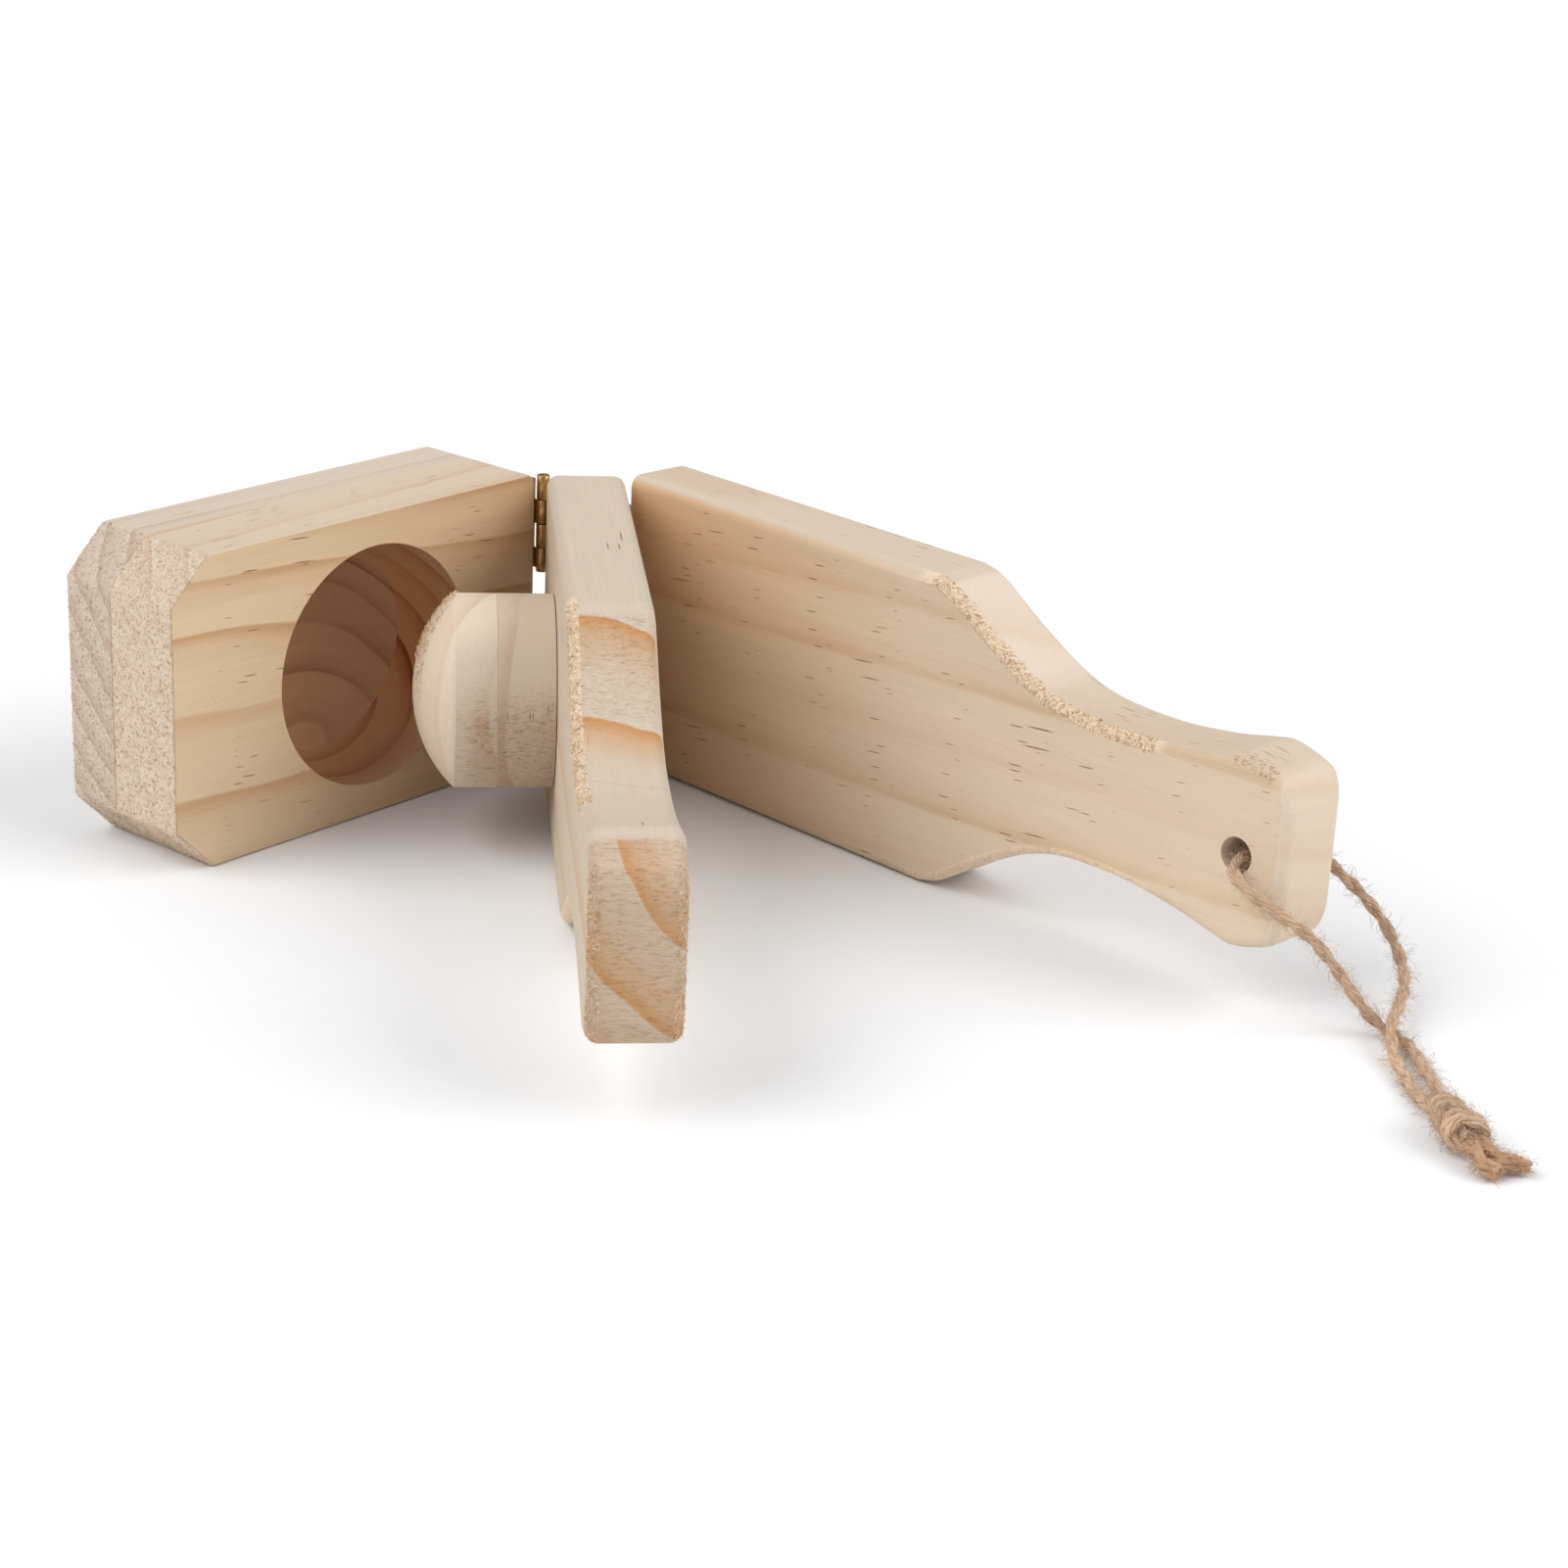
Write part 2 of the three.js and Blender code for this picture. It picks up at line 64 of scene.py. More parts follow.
GLUE_DEPTH = PIN_TO_FACE + INNER_BOARD_THICKNESS + 0.07  # from the left pin to the block's seam
PADDLE_EASE, BLOCK_EASE = 0.35, 1.4  # how far sharp edges are broken
FLAT_BELOW, ROLLED_BELOW = 34, 50  # faces that meet at a smaller angle, in degrees, look smooth
EASED_ABOVE = 38  # edges that turn by a larger angle are rounded
TABLE_SKIN = 0.1  # loose fibres lie this high above the table
HALF_WIDTH = BOARD_WIDTH / 2

pins = {joint["child"]: Vector(joint["pos_m"]) for joint in frame["joints"]}
LEFT_PIN = Vector((pins["cup_block"].x, pins["cup_block"].y, 0)) / MM
RIGHT_PIN = Vector((pins["plain_paddle"].x, pins["plain_paddle"].y, 0)) / MM

# Each board is drawn closed, with its pin on the z axis and its length along -Y, then swung open.
SWING = {
    "cup_block": (LEFT_PIN, -BLOCK_OPEN),
    "middle_paddle": (LEFT_PIN, 0),
    "middle_paddle_right": (RIGHT_PIN, 0),
    "plain_paddle": (RIGHT_PIN, PADDLE_OPEN),
}


def swung(board):
    """The matrix from a closed board's millimetres to its place in the frame, in metres."""
    pin, degrees = SWING[board]
    turn = Matrix.Rotation(math.radians(degrees), 4, "Z")
    return Matrix.Scale(MM, 4) @ Matrix.Translation(pin) @ turn


# ---- Nodes and colours --------------------------------------------------------------------------

MATH, VECTOR, RANGE = "ShaderNodeMath", "ShaderNodeVectorMath", "ShaderNodeMapRange"
XYZ, RAMP, NOISE, MIX = (
    "ShaderNodeCombineXYZ", "ShaderNodeValToRGB", "ShaderNodeTexNoise", "ShaderNodeMix")
PLUS, MINUS, TIMES, OVER, TIMES_PLUS, LARGER, SIZE, FRACTION, LENGTH = (
    {"operation": operation} for operation in (
        "ADD", "SUBTRACT", "MULTIPLY", "DIVIDE", "MULTIPLY_ADD", "MAXIMUM", "ABSOLUTE", "FRACT",
        "LENGTH"))


def linear(hex_colour):
    """An sRGB hex colour as linear red, green, blue and alpha."""
    parts = [int(hex_colour[i : i + 2], 16) / 255 for i in (1, 3, 5)]
    return [c / 12.92 if c <= 0.04045 else ((c + 0.055) / 1.055) ** 2.4 for c in parts] + [1]


def add(tree, kind, settings=(), inputs=()):
    """Adds a node, sets its properties and fills its inputs, by name or in their order. A socket
    given as an input is linked, and so is a node, which stands for its first output in use."""
    node = tree.nodes.new(kind)
    for name, value in dict(settings).items():
        setattr(node, name, value)
    for name, value in inputs.items() if isinstance(inputs, dict) else enumerate(inputs):
        if isinstance(value, bpy.types.Node):
            value = next(socket for socket in value.outputs if socket.enabled)
        if isinstance(value, bpy.types.NodeSocket):
            tree.links.new(value, node.inputs[name])
        else:
            node.inputs[name].default_value = value
    return node


def new_material(name):
    material = bpy.data.materials.new(name)
    material.use_nodes = True
    material.node_tree.nodes.clear()
    return material, material.node_tree


def set_ramp(node, stops, interpolation="LINEAR"):
    """Gives a colour ramp its stops: (position, colour or grey value)."""
    ramp = node.color_ramp
    ramp.interpolation = interpolation
    while len(ramp.elements) < len(stops):
        ramp.elements.new(0.5)
    for element, (position, colour) in zip(ramp.elements, stops):
        element.position = position
        element.color = linear(colour) if isinstance(colour, str) else [colour] * 3 + [1]


# How dark the wood is through one year's ring: it ends in a sharp line, or fades on both sides
SHARP_RING = [(0, 0.05), (0.4, 0.1), (0.7, 0.38), (0.94, 1.0), (0.99, 0.0)]
SOFT_RING = [(0, 0.4), (0.07, 0.12), (0.4, 0.12), (0.7, 0.4), (0.93, 1.0), (1.0, 0.4)]


# Planed pine, unfinished: pale earlywood that darkens through each year's ring and ends in a sharp
# orange-brown latewood line, short dark resin ducts along the grain, and lumpy torn fibres where a
# cutter met the end grain. Matt, so its roughness is high. The bands say how strongly the rings
# show on a face, an edge, the end and a slope near the end.
def planed_pine(name, board, pith, ring_gap, phase=0.0, ring_tilt=0.0, early="#d2bfa4",
                late="#b07c4a", band=0.8, edge_band=0.5, end_band=0.8, slope_band=0.0,
                soft_rings=False, stripes=None, ducts=1.0, duct_reach=26.0, duct_tilt=0.0, seed=0.0,
                grain_along="Y", torn_edge=None, torn_end=1.0, torn_tip=False, pale_end=0.3,
                tear_scale=(1.4, 1.4, 1.4), painted_hinge_shade=0.0, cupped=False):
    material, tree = new_material(name)
    pin, degrees = SWING[board]
    turn = (math.radians(90) if grain_along == "Z" else 0, 0, math.radians(degrees))
    place = add(tree, "ShaderNodeTexCoord")
    millimetres = add(tree, "ShaderNodeMapping", {"vector_type": "TEXTURE"}, {
        "Vector": place.outputs["Object"], "Location": pin * MM, "Rotation": turn,
        "Scale": (MM, MM, MM)})
    facing = add(tree, "ShaderNodeMapping", {"vector_type": "TEXTURE"}, {
        "Vector": place.outputs["Normal"], "Rotation": turn})
    parts = add(tree, "ShaderNodeSeparateXYZ", (), [millimetres]).outputs
    toward = add(tree, "ShaderNodeSeparateXYZ", (), [facing]).outputs
    broad_face, end_face, edge_face = (add(tree, MATH, SIZE, [toward[axis]]) for axis in "XYZ")

    # A noise's scale is one over the size of its lumps in millimetres, along each axis in turn
    wander, patches, bow, clusters, fibre, lumps = (
        add(tree, NOISE, {"noise_dimensions": "4D"}, {
            "Vector": add(tree, VECTOR, TIMES, [millimetres, scale]), "W": seed, "Scale": 1.0,
            "Detail": detail, "Roughness": roughness, "Distortion": distortion})
        for scale, detail, roughness, distortion in (
            ((0.028, 0.0085, 0.028), 2.0, 0.45, 0.0),
            ((0.05, 0.012, 0.05), 2.0, 0.5, 0.0),
            ((0.09, 0.03, 0.01), 1.0, 0.5, 0.0),
            ((0.035, 0.012, 0.05), 1.0, 0.5, 0.0),
            ((2.0, 0.035, 2.0), 4.0, 0.62, 0.0),  # fibres 0.5 mm across, tens of millimetres long
            (tear_scale, 4.0, 0.62, 0.4)))  # torn lumps about 0.7 mm across

    # Where the end grain and the board's long edges are
    end_mask = add(tree, RANGE, (), [end_face, 0.3, 0.45])
    edge_mask = add(tree, RANGE, (), [edge_face, 0.5, 0.8])
    tip = -PIN_TO_END - PADDLE_LENGTH + HANDLE_CORNER
    if torn_tip:  # the handle's rounded corner is end grain from where it starts to turn
        on_tip = add(tree, MATH, TIMES, [
            add(tree, RANGE, (), [parts["Y"], tip + 1.5, tip - 0.5]),
            add(tree, RANGE, (), [end_face, 0.06, 0.14])])
        end_mask = add(tree, MATH, LARGER, [end_mask, on_tip])
    if grain_along == "Z":  # a turned piece: only its lower flank is torn
        end_mask = add(tree, MATH, TIMES, [
            add(tree, RANGE, (), [toward["Y"], 0.45, 0.0]),
            add(tree, RANGE, (), [broad_face, 0.1, 0.3, 1.0, 0.0])])
    if cupped:  # inside the cup, round the press's axis
        cup_floor, cup_radius = -PIN_TO_FACE - CUP_DEPTH, CUP_DIAMETER / 2
        from_axis = add(tree, XYZ, (), [
            add(tree, MATH, PLUS, [parts["Y"], PIN_TO_END + PRESS_STATION]),
            add(tree, MATH, MINUS, [parts["Z"], HALF_WIDTH])])
        round_axis = add(tree, RANGE, (), [
            add(tree, VECTOR, LENGTH, [from_axis]), cup_radius - 0.1, cup_radius + 0.2, 1.0, 0.0])
        depth = add(tree, MATH, TIMES, [
            add(tree, RANGE, (), [parts["X"], -1.0, -1.3]),
            add(tree, RANGE, (), [parts["X"], cup_floor - 1.5, cup_floor - 0.5])])
        in_cup = add(tree, MATH, TIMES, [round_axis, depth])
        end_mask = add(tree, MATH, TIMES, [end_mask, add(tree, MATH, MINUS, [1.0, in_cup])])

    # Rings round the pith, wandering slowly along the board
    lift = add(tree, MATH, TIMES, [parts["Y"], math.tan(math.radians(ring_tilt))])
    from_pith = add(tree, XYZ, (), [
        add(tree, MATH, MINUS, [parts["X"], pith[0]]),
        add(tree, MATH, MINUS, [add(tree, MATH, PLUS, [parts["Z"], lift]), pith[1]])])
    ring_radius = add(tree, MATH, TIMES_PLUS, [wander, 9.0, add(tree, VECTOR, LENGTH, [from_pith])])
    years = add(tree, MATH, TIMES_PLUS, [ring_radius, 1 / ring_gap, phase])
    strength = add(tree, "ShaderNodeTexWhiteNoise", {"noise_dimensions": "1D"}, {
        "W": add(tree, MATH, {"operation": "FLOOR"}, [years])})
    latewood = add(tree, RAMP, (), [add(tree, MATH, FRACTION, [years])])
    set_ramp(latewood, SOFT_RING if soft_rings else SHARP_RING, "EASE")
    broadened = add(tree, MATH, {"operation": "POWER"}, [
        latewood, add(tree, MATH, TIMES_PLUS, [end_mask, -0.55, 1.0])])
    share = add(tree, MATH, TIMES, [
        add(tree, RANGE, (), [strength, 0, 1, 0.4, 1.0]),
        add(tree, RANGE, (), [patches, 0.32, 0.68, 0.35, 1.2])])
    share = add(tree, MATH, LARGER, [share, add(tree, MATH, TIMES, [end_mask, 0.8])])
    on_edge = add(tree, MATH, TIMES_PLUS, [edge_mask, edge_band - band, band])
    on_end = add(tree, MATH, TIMES_PLUS, [
        add(tree, RANGE, (), [end_face, 0.95, 0.85]), slope_band, end_band])
    shown = add(tree, MIX, {"data_type": "FLOAT"}, {0: end_mask, 2: on_edge, 3: on_end})
    dark_ring = add(tree, MATH, {**TIMES, "use_clamp": True}, [
        broadened, add(tree, MATH, TIMES, [share, shown])])
    if stripes:  # growth layers that surface across a sloping shoulder: first line, gap, slant
        first, gap, slant = stripes
        slanted = add(tree, MATH, TIMES_PLUS, [
            parts["X"], -slant, add(tree, MATH, TIMES, [parts["Y"], -1.0])])
        bowed = add(tree, MATH, TIMES_PLUS, [bow, 5.0, slanted])
        layer = add(tree, MATH, OVER, [add(tree, MATH, MINUS, [bowed, PIN_TO_END + first]), gap])
        stripe = add(tree, RAMP, (), [add(tree, MATH, FRACTION, [layer])])
        set_ramp(stripe, [(0, 0.0), (0.025, 1.0), (0.2, 0.55), (0.55, 0.12), (1, 0.0)])
        upward = add(tree, MATH, TIMES, [
            add(tree, RANGE, (), [toward["Z"], 0.35, 0.6]),
            add(tree, RANGE, (), [parts["Y"], tip - 1.0, tip + 1.5])])
        both_lines = add(tree, MATH, TIMES, [
            add(tree, RANGE, (), [layer, -0.02, 0.0]),
            add(tree, RANGE, (), [layer, 1.7, 2.1, 1.0, 0.0])])
        dark_ring = add(tree, MATH, TIMES, [
            dark_ring, add(tree, MATH, TIMES_PLUS, [upward, -0.9, 1.0])])
        dark_ring = add(tree, MATH, LARGER, [dark_ring, add(tree, MATH, TIMES, [
            stripe, add(tree, MATH, TIMES, [upward, both_lines])])])

    # Resin ducts: dark dashes along the grain, laid out on whichever face the eye is on
    across = add(tree, MIX, {"data_type": "FLOAT"}, {0: edge_mask, 2: parts["Z"], 3: parts["X"]})
    leaning = add(tree, MATH, TIMES_PLUS, [
        parts["Y"], math.tan(math.radians(duct_tilt)), across])
    clustered = add(tree, RANGE, (), [clusters, 0.42, 0.6, 0.55, 1.0])
    duct = 0.0
    for length, spacing, thickness, shift in (
        (duct_reach, 1.9, 0.115, 0.0), (60.0, 3.4, 0.085, 51.0),
    ):
        along = add(tree, MATH, PLUS, [parts["Y"], shift + seed * 17])
        aside = add(tree, MATH, PLUS, [leaning, seed * 5])
        sheet = add(tree, XYZ, (), [
            add(tree, MATH, OVER, [along, length]), add(tree, MATH, OVER, [aside, spacing])])
        cells = add(tree, "ShaderNodeTexVoronoi", {"voronoi_dimensions": "2D"}, {
            "Vector": sheet, "Scale": 1.0})
        luck = add(tree, "ShaderNodeSeparateColor", (), [cells.outputs["Color"]])
        size = add(tree, RANGE, (), [luck, 1 - 0.5 * ducts, 1.0, 0.0, thickness])
        inside = add(tree, MATH, MINUS, [
            add(tree, MATH, TIMES, [size, clustered]), cells.outputs["Distance"]])
        duct = add(tree, MATH, LARGER, [
            duct, add(tree, RANGE, (), [inside, 0.0, 0.035, 0.0, 0.75])])
    # They stop at the end grain, and where a face turns into an edge
    on_round = add(tree, MATH, TIMES, [edge_mask, add(tree, MATH, MINUS, [1.0, edge_mask])])
    off_face = add(tree, MATH, TIMES, [
        add(tree, RANGE, (), [broad_face, 0.02, 0.1]),
        add(tree, RANGE, (), [broad_face, 0.9, 0.98, 1.0, 0.0])])
    for allowed in (
        add(tree, RANGE, (), [end_face, 0.2, 0.4, 1.0, 0.0]),
        add(tree, RANGE, (), [on_round, 0.05, 0.12, 1.0, 0.0]),
        add(tree, MATH, MINUS, [1.0, off_face]),
    ):
        duct = add(tree, MATH, TIMES, [duct, allowed])

    # Torn grain, on end grain and wherever a piece is marked torn
    torn, torn_round = add(tree, MATH, TIMES, [end_mask, torn_end]), 0.0
    if torn_edge:  # the rounded edge that runs down the shoulder, torn between two distances
        start, stop = torn_edge
        round_edge = add(tree, MATH, TIMES, [
            add(tree, RANGE, (), [toward["X"], -0.3, -0.1, 1.0, 0.0]),
            add(tree, RANGE, (), [toward["X"], -0.995, -0.96])])
        reach = add(tree, MATH, TIMES, [
            add(tree, RANGE, (), [parts["Y"], -stop - 4, -stop]),
            add(tree, RANGE, (), [parts["Y"], -start, -start + 4, 1.0, 0.0])])
        torn_round = add(tree, MATH, TIMES, [round_edge, reach])
        torn = add(tree, MATH, LARGER, [torn, add(tree, MATH, TIMES, [torn_round, 0.7])])
    # Painted shade: the torn lumps are coloured darker where their relief sinks, from the same
    # noise that raises them in the bump below
    tear = add(tree, RAMP, (), [lumps])
    set_ramp(tear, [(0.3, "#b79a80"), (0.42, "#ecdfce"), (0.52, "#ffffff")])

    # The colour, one layer over another
    # Painted light: the faces that look up or down are mixed toward a greyer beige, in place of the
    # cool light that falls on the tops from above
    pale = add(tree, MIX, {"data_type": "RGBA"}, {
        0: add(tree, MATH, TIMES, [edge_mask, 0.7]), 6: linear(early), 7: linear("#c7b8a5")})
    layers = [
        (dark_ring, linear(late), "MIX"),
        (1.0, add(tree, RANGE, (), [fibre, 0.25, 0.75, 0.93, 1.05]), "MULTIPLY"),
        (duct, linear("#8c5c3a"), "MIX"),
        (add(tree, MATH, TIMES, [end_mask, pale_end]), linear("#efe4d6"), "MIX"),
        (add(tree, MATH, TIMES, [torn_round, 0.75]), linear("#f2dcc0"), "MIX"),
        (add(tree, MATH, TIMES, [torn, 0.8]), tear, "MULTIPLY")]
    if painted_hinge_shade:  # painted shade: the inner faces are coloured browner and darker toward the hinge, where they come together, in place of the shade and warm bounce light between them
        side = 1 if board == "cup_block" else -1
        inner_face = add(tree, RANGE, (), [add(tree, MATH, TIMES, [toward["X"], side]), 0.6, 0.9])
        inner = add(tree, MATH, TIMES, [
            inner_face, add(tree, RANGE, (), [parts["Y"], -100, -12, 0.0, painted_hinge_shade])])
        layers.append((inner, linear("#f6cfa4"), "MULTIPLY"))
    if cupped:  # its wall is coloured browner and its rings darker: partly painted shade deep in the hollow, partly a stain, as cut across the grain it soaks up oil
        layers.append((in_cup, linear("#f8d4b4"), "MULTIPLY"))
        layers.append((
            add(tree, MATH, TIMES, [in_cup, dark_ring]), linear("#c08a6a"), "MULTIPLY"))
    wood = pale
    for share, tone, how in layers:
        wood = add(tree, MIX, {"data_type": "RGBA", "blend_type": how}, {
            0: share, 6: wood, 7: tone})

    # Relief: fibres 0.03 mm, torn lumps 0.5 mm deep
    torn_relief = add(tree, MATH, TIMES, [lumps, add(tree, MATH, TIMES, [torn, 0.75])])
    height = add(tree, MATH, TIMES_PLUS, [
        fibre, 0.05, add(tree, MATH, TIMES_PLUS, [duct, -0.1, torn_relief])])
    relief = add(tree, "ShaderNodeBump", (), {"Height": height, "Distance": MM, "Strength": 0.9})
    shader = add(tree, "ShaderNodeBsdfPrincipled", (), {
        "Base Color": wood, "Roughness": add(tree, RANGE, (), [fibre, 0.3, 0.7, 0.6, 0.74]),
        "Specular IOR Level": 0.35, "Normal": relief})
    add(tree, "ShaderNodeOutputMaterial", (), {"Surface": shader})
    return material


# Rolled brass, gone dull: warm yellow with brown tarnish, fine draw lines along the pin, and a soft
# gloss.
def dull_brass():
    material, tree = new_material("rolled brass, dull")
    place = add(tree, "ShaderNodeTexCoord").outputs["Object"]
    drawn = add(tree, "ShaderNodeMapping", (), {"Vector": place, "Scale": (9000, 9000, 500)})
    lines = add(tree, NOISE, (), {"Vector": drawn, "Scale": 1.0, "Detail": 3.0})
    cloud = add(tree, NOISE, (), {
        "Vector": place, "Scale": 420.0, "Detail": 4.0, "Roughness": 0.6})
    tarnish = add(tree, RAMP, (), [cloud])
    set_ramp(tarnish, [(0.3, "#a9834f"), (0.5, "#c19a62"), (0.7, "#cba671")])
    dullness = add(tree, RANGE, (), [cloud, 0.3, 0.7, 0.42, 0.26])
    relief = add(tree, "ShaderNodeBump", (), {
        "Height": lines, "Distance": 0.02 * MM, "Strength": 0.6})
    shader = add(tree, "ShaderNodeBsdfPrincipled", (), {
        "Base Color": tarnish, "Metallic": 1.0, "Roughness": dullness, "Normal": relief})
    add(tree, "ShaderNodeOutputMaterial", (), {"Surface": shader})
    return material


# Jute, spun and twisted: tan bast fibres that lie along each yarn and vary in tone; the same noise
# colours them darker where their bump sinks, which is painted shade in the hollows. Quite matt with
# a slight silky sheen.
def spun_jute(name, pale, mid, dark):
    material, tree = new_material(name)
    spun = add(tree, XYZ, (), [
        add(tree, "ShaderNodeAttribute", {"attribute_name": label}).outputs["Fac"]
        for label in ("along", "around", "yarn")])
    # a fibre shows about 0.15 mm wide and 4 mm long
    stretched = add(tree, VECTOR, TIMES, [spun, (300, 9, 3.7)])
    fibre = add(tree, NOISE, (), {
        "Vector": stretched, "Scale": 1.0, "Detail": 4.0, "Roughness": 0.65})
    tone = add(tree, RAMP, (), [fibre])
    set_ramp(tone, [(0.32, dark), (0.48, mid), (0.66, pale)])
    place = add(tree, "ShaderNodeTexCoord")
    patches = add(tree, NOISE, (), {
        "Vector": place.outputs["Object"], "Scale": 160.0, "Detail": 2.0})
    toned = add(tree, MIX, {"data_type": "RGBA", "blend_type": "MULTIPLY"}, {
        0: 1.0, 6: tone, 7: add(tree, RANGE, (), [patches, 0.3, 0.7, 0.82, 1.1])})
    relief = add(tree, "ShaderNodeBump", (), {
        "Height": fibre, "Distance": 0.15 * MM, "Strength": 0.8})
    shader = add(tree, "ShaderNodeBsdfPrincipled", (), {
        "Base Color": toned, "Roughness": 0.85, "Sheen Weight": 0.25, "Sheen Roughness": 0.5,
        "Normal": relief})
    add(tree, "ShaderNodeOutputMaterial", (), {"Surface": shader})
    return material


# Torn pine fibres: pale ends of the wood's own fibres, some stained orange by the latewood.
def torn_pine():
    material, tree = new_material("torn pine fibres")
    patches = add(tree, NOISE, (), {
        "Vector": add(tree, "ShaderNodeTexCoord").outputs["Object"], "Scale": 600.0,
        "Detail": 3.0, "Roughness": 0.7})
    tone = add(tree, RAMP, (), [patches])
    set_ramp(tone, [(0.36, "#b98d63"), (0.48, "#dcc19d"), (0.6, "#f0dfc4")])
    shader = add(tree, "ShaderNodeBsdfPrincipled", (), {"Base Color": tone, "Roughness": 0.8})
    add(tree, "ShaderNodeOutputMaterial", (), {"Surface": shader})
    return material


block_inner_pine = planed_pine(
    "planed pine, cup block face board", "cup_block", (-96, -22), 9.0, phase=0.3, ring_tilt=4,
    early="#d8c09f", late="#b07a40", band=0.85, edge_band=0.4, end_band=0.4, slope_band=0.6,
    ducts=1.5, duct_reach=24, duct_tilt=5, seed=1.3, pale_end=0.5, painted_hinge_shade=0.3, cupped=True)
block_outer_pine = planed_pine(
    "planed pine, cup block back board", "cup_block", (72, 131), 6.6, phase=0.1,
    early="#d2c4b2", late="#976f50", band=0.6, edge_band=0.35, end_band=0.95, ducts=0.3, seed=2.1,
    torn_end=0.8, cupped=True)
middle_pine = planed_pine(
    "planed pine, middle paddle", "middle_paddle", (46, 69.4), 15.0, phase=-1.13,
    early="#c6b8a4", late="#bc8444", band=0.5, edge_band=0.12, end_band=1.1, ducts=0.5,
    stripes=(110.3, 24, 0.25), seed=3.7, torn_edge=(104, 170), torn_end=0.7, pale_end=0.05,
    tear_scale=(0.5, 1.9, 1.9), torn_tip=True)
plain_pine = planed_pine(
    "planed pine, plain paddle", "plain_paddle", (60, 300), 15.0, phase=0.35, ring_tilt=2,
    early="#d5c2a8", late="#b58351", band=0.42, edge_band=0.3, end_band=0.5, soft_rings=True,
    ducts=1.5, duct_reach=22, duct_tilt=6, seed=5.2, torn_edge=(104, 172), torn_end=0.12,
    pale_end=0.35, painted_hinge_shade=0.7)
TURNED = {"grain_along": "Z", "end_band": 0.6, "duct_reach": 18, "tear_scale": (0.55, 1.6, 3.0),
          "pale_end": 0.0}
plunger_base_pine = planed_pine(
    "turned pine, plunger base ply", "middle_paddle", (-150, 30), 14.0, phase=0.2,
    early="#cdbaa2", late="#ab8059", band=0.4, edge_band=0.4, ducts=0.8, seed=7.1, **TURNED)
plunger_tip_pine = planed_pine(
    "turned pine, plunger tip ply", "middle_paddle", (-170, -35), 12.0, phase=0.6,
    early="#d8c8b2", late="#b1865f", band=0.35, edge_band=0.35, ducts=0.2, seed=8.4, **TURNED)
torn_fibre_pine = torn_pine()
brass = dull_brass()
jute = spun_jute("spun jute", "#e2c8aa", "#c6a382", "#92704e")
jute_cut_end = spun_jute("spun jute, frayed end", "#d8b592", "#bc926c", "#86603c")


# ---- Camera, floor and light --------------------------------------------------------------------


def place_camera():
    yaw, pitch, roll = (math.radians(angle) for angle in (7.32, -20.77, -2.78))
    ahead = Vector((
        math.sin(yaw) * math.cos(pitch), math.cos(yaw) * math.cos(pitch), math.sin(pitch)))
    right = Vector((math.cos(yaw), -math.sin(yaw), 0))
    up = right.cross(ahead)
    x_axis = right * math.cos(roll) - up * math.sin(roll)
    y_axis = right * math.sin(roll) + up * math.cos(roll)
    data = bpy.data.cameras.new("camera")
    data.lens, data.sensor_width = 72.36, 36
    data.clip_start, data.clip_end = 0.05, 100
    camera = bpy.data.objects.new("camera", data)
    turn = Matrix((x_axis, y_axis, -ahead)).transposed().to_4x4()
    camera.matrix_world = Matrix.Translation(Vector((-44.4, -707.5, 285.0)) * MM) @ turn
    scene.collection.objects.link(camera)
    scene.camera = camera


def light_stage():
    """A plain white floor under a soft sky, with a broad soft key from above and the left."""
    bpy.ops.mesh.primitive_plane_add(size=60, location=(0, 0, -0.05 * MM))
    floor = bpy.context.object
    floor.name = "studio_floor"
    material, tree = new_material("white studio paper")
    speck = add(tree, NOISE, (), {"Scale": 30.0, "Detail": 2.0})
    shader = add(tree, "ShaderNodeBsdfPrincipled", (), {
        "Base Color": add(tree, RANGE, (), [speck, 0.0, 1.0, 0.84, 0.87]), "Roughness": 0.9,
        "Specular IOR Level": 0.1})
    add(tree, "ShaderNodeOutputMaterial", (), {"Surface": shader})
    floor.data.materials.append(material)
    world = scene.world or bpy.data.worlds.new("studio")
    scene.world = world
    world.use_nodes = True
    tree = world.node_tree
    tree.nodes.clear()
    seen = add(tree, "ShaderNodeLightPath")  # the paper wall is seen white, but lights softly
    strength = add(tree, RANGE, (), [seen.outputs["Is Camera Ray"], 0.0, 1.0, 0.31, 1.0])
    sky = add(tree, "ShaderNodeBackground", (), {
        "Color": linear("#fdfdff"), "Strength": strength})
    add(tree, "ShaderNodeOutputWorld", (), {"Surface": sky})
    for name, strength, spread, colour, towards in (
        ("left softbox", 2.0, 50, "#ffffff", (0.72, 0.22, -0.66)),
        ("right softbox", 1.9, 50, "#ffffff", (-0.76, 0.28, -0.58)),
        ("top softbox", 0.6, 80, "#eef4ff", (0.0, -0.1, -1.0)),
    ):
        data = bpy.data.lights.new(name, "SUN")
        data.energy, data.angle, data.color = strength, math.radians(spread), linear(colour)[:3]
        light = bpy.data.objects.new(name, data)
        light.rotation_euler = Vector(towards).to_track_quat("-Z", "Y").to_euler()
        scene.collection.objects.link(light)


scene.view_settings.view_transform = "Standard"  # the woods' own colours, with no film curve
place_camera()
light_stage()


# ---- Mesh work ----------------------------------------------------------------------------------


def made(bm):
    """A mesh from a bmesh, its faces pointing outwards."""
    bmesh.ops.recalc_face_normals(bm, faces=bm.faces)
    mesh = bpy.data.meshes.new("work")
    bm.to_mesh(mesh)
    bm.free()
    return mesh


def as_object(mesh, name="work"):
    item = bpy.data.objects.new(name, mesh)
    scene.collection.objects.link(item)
    return item


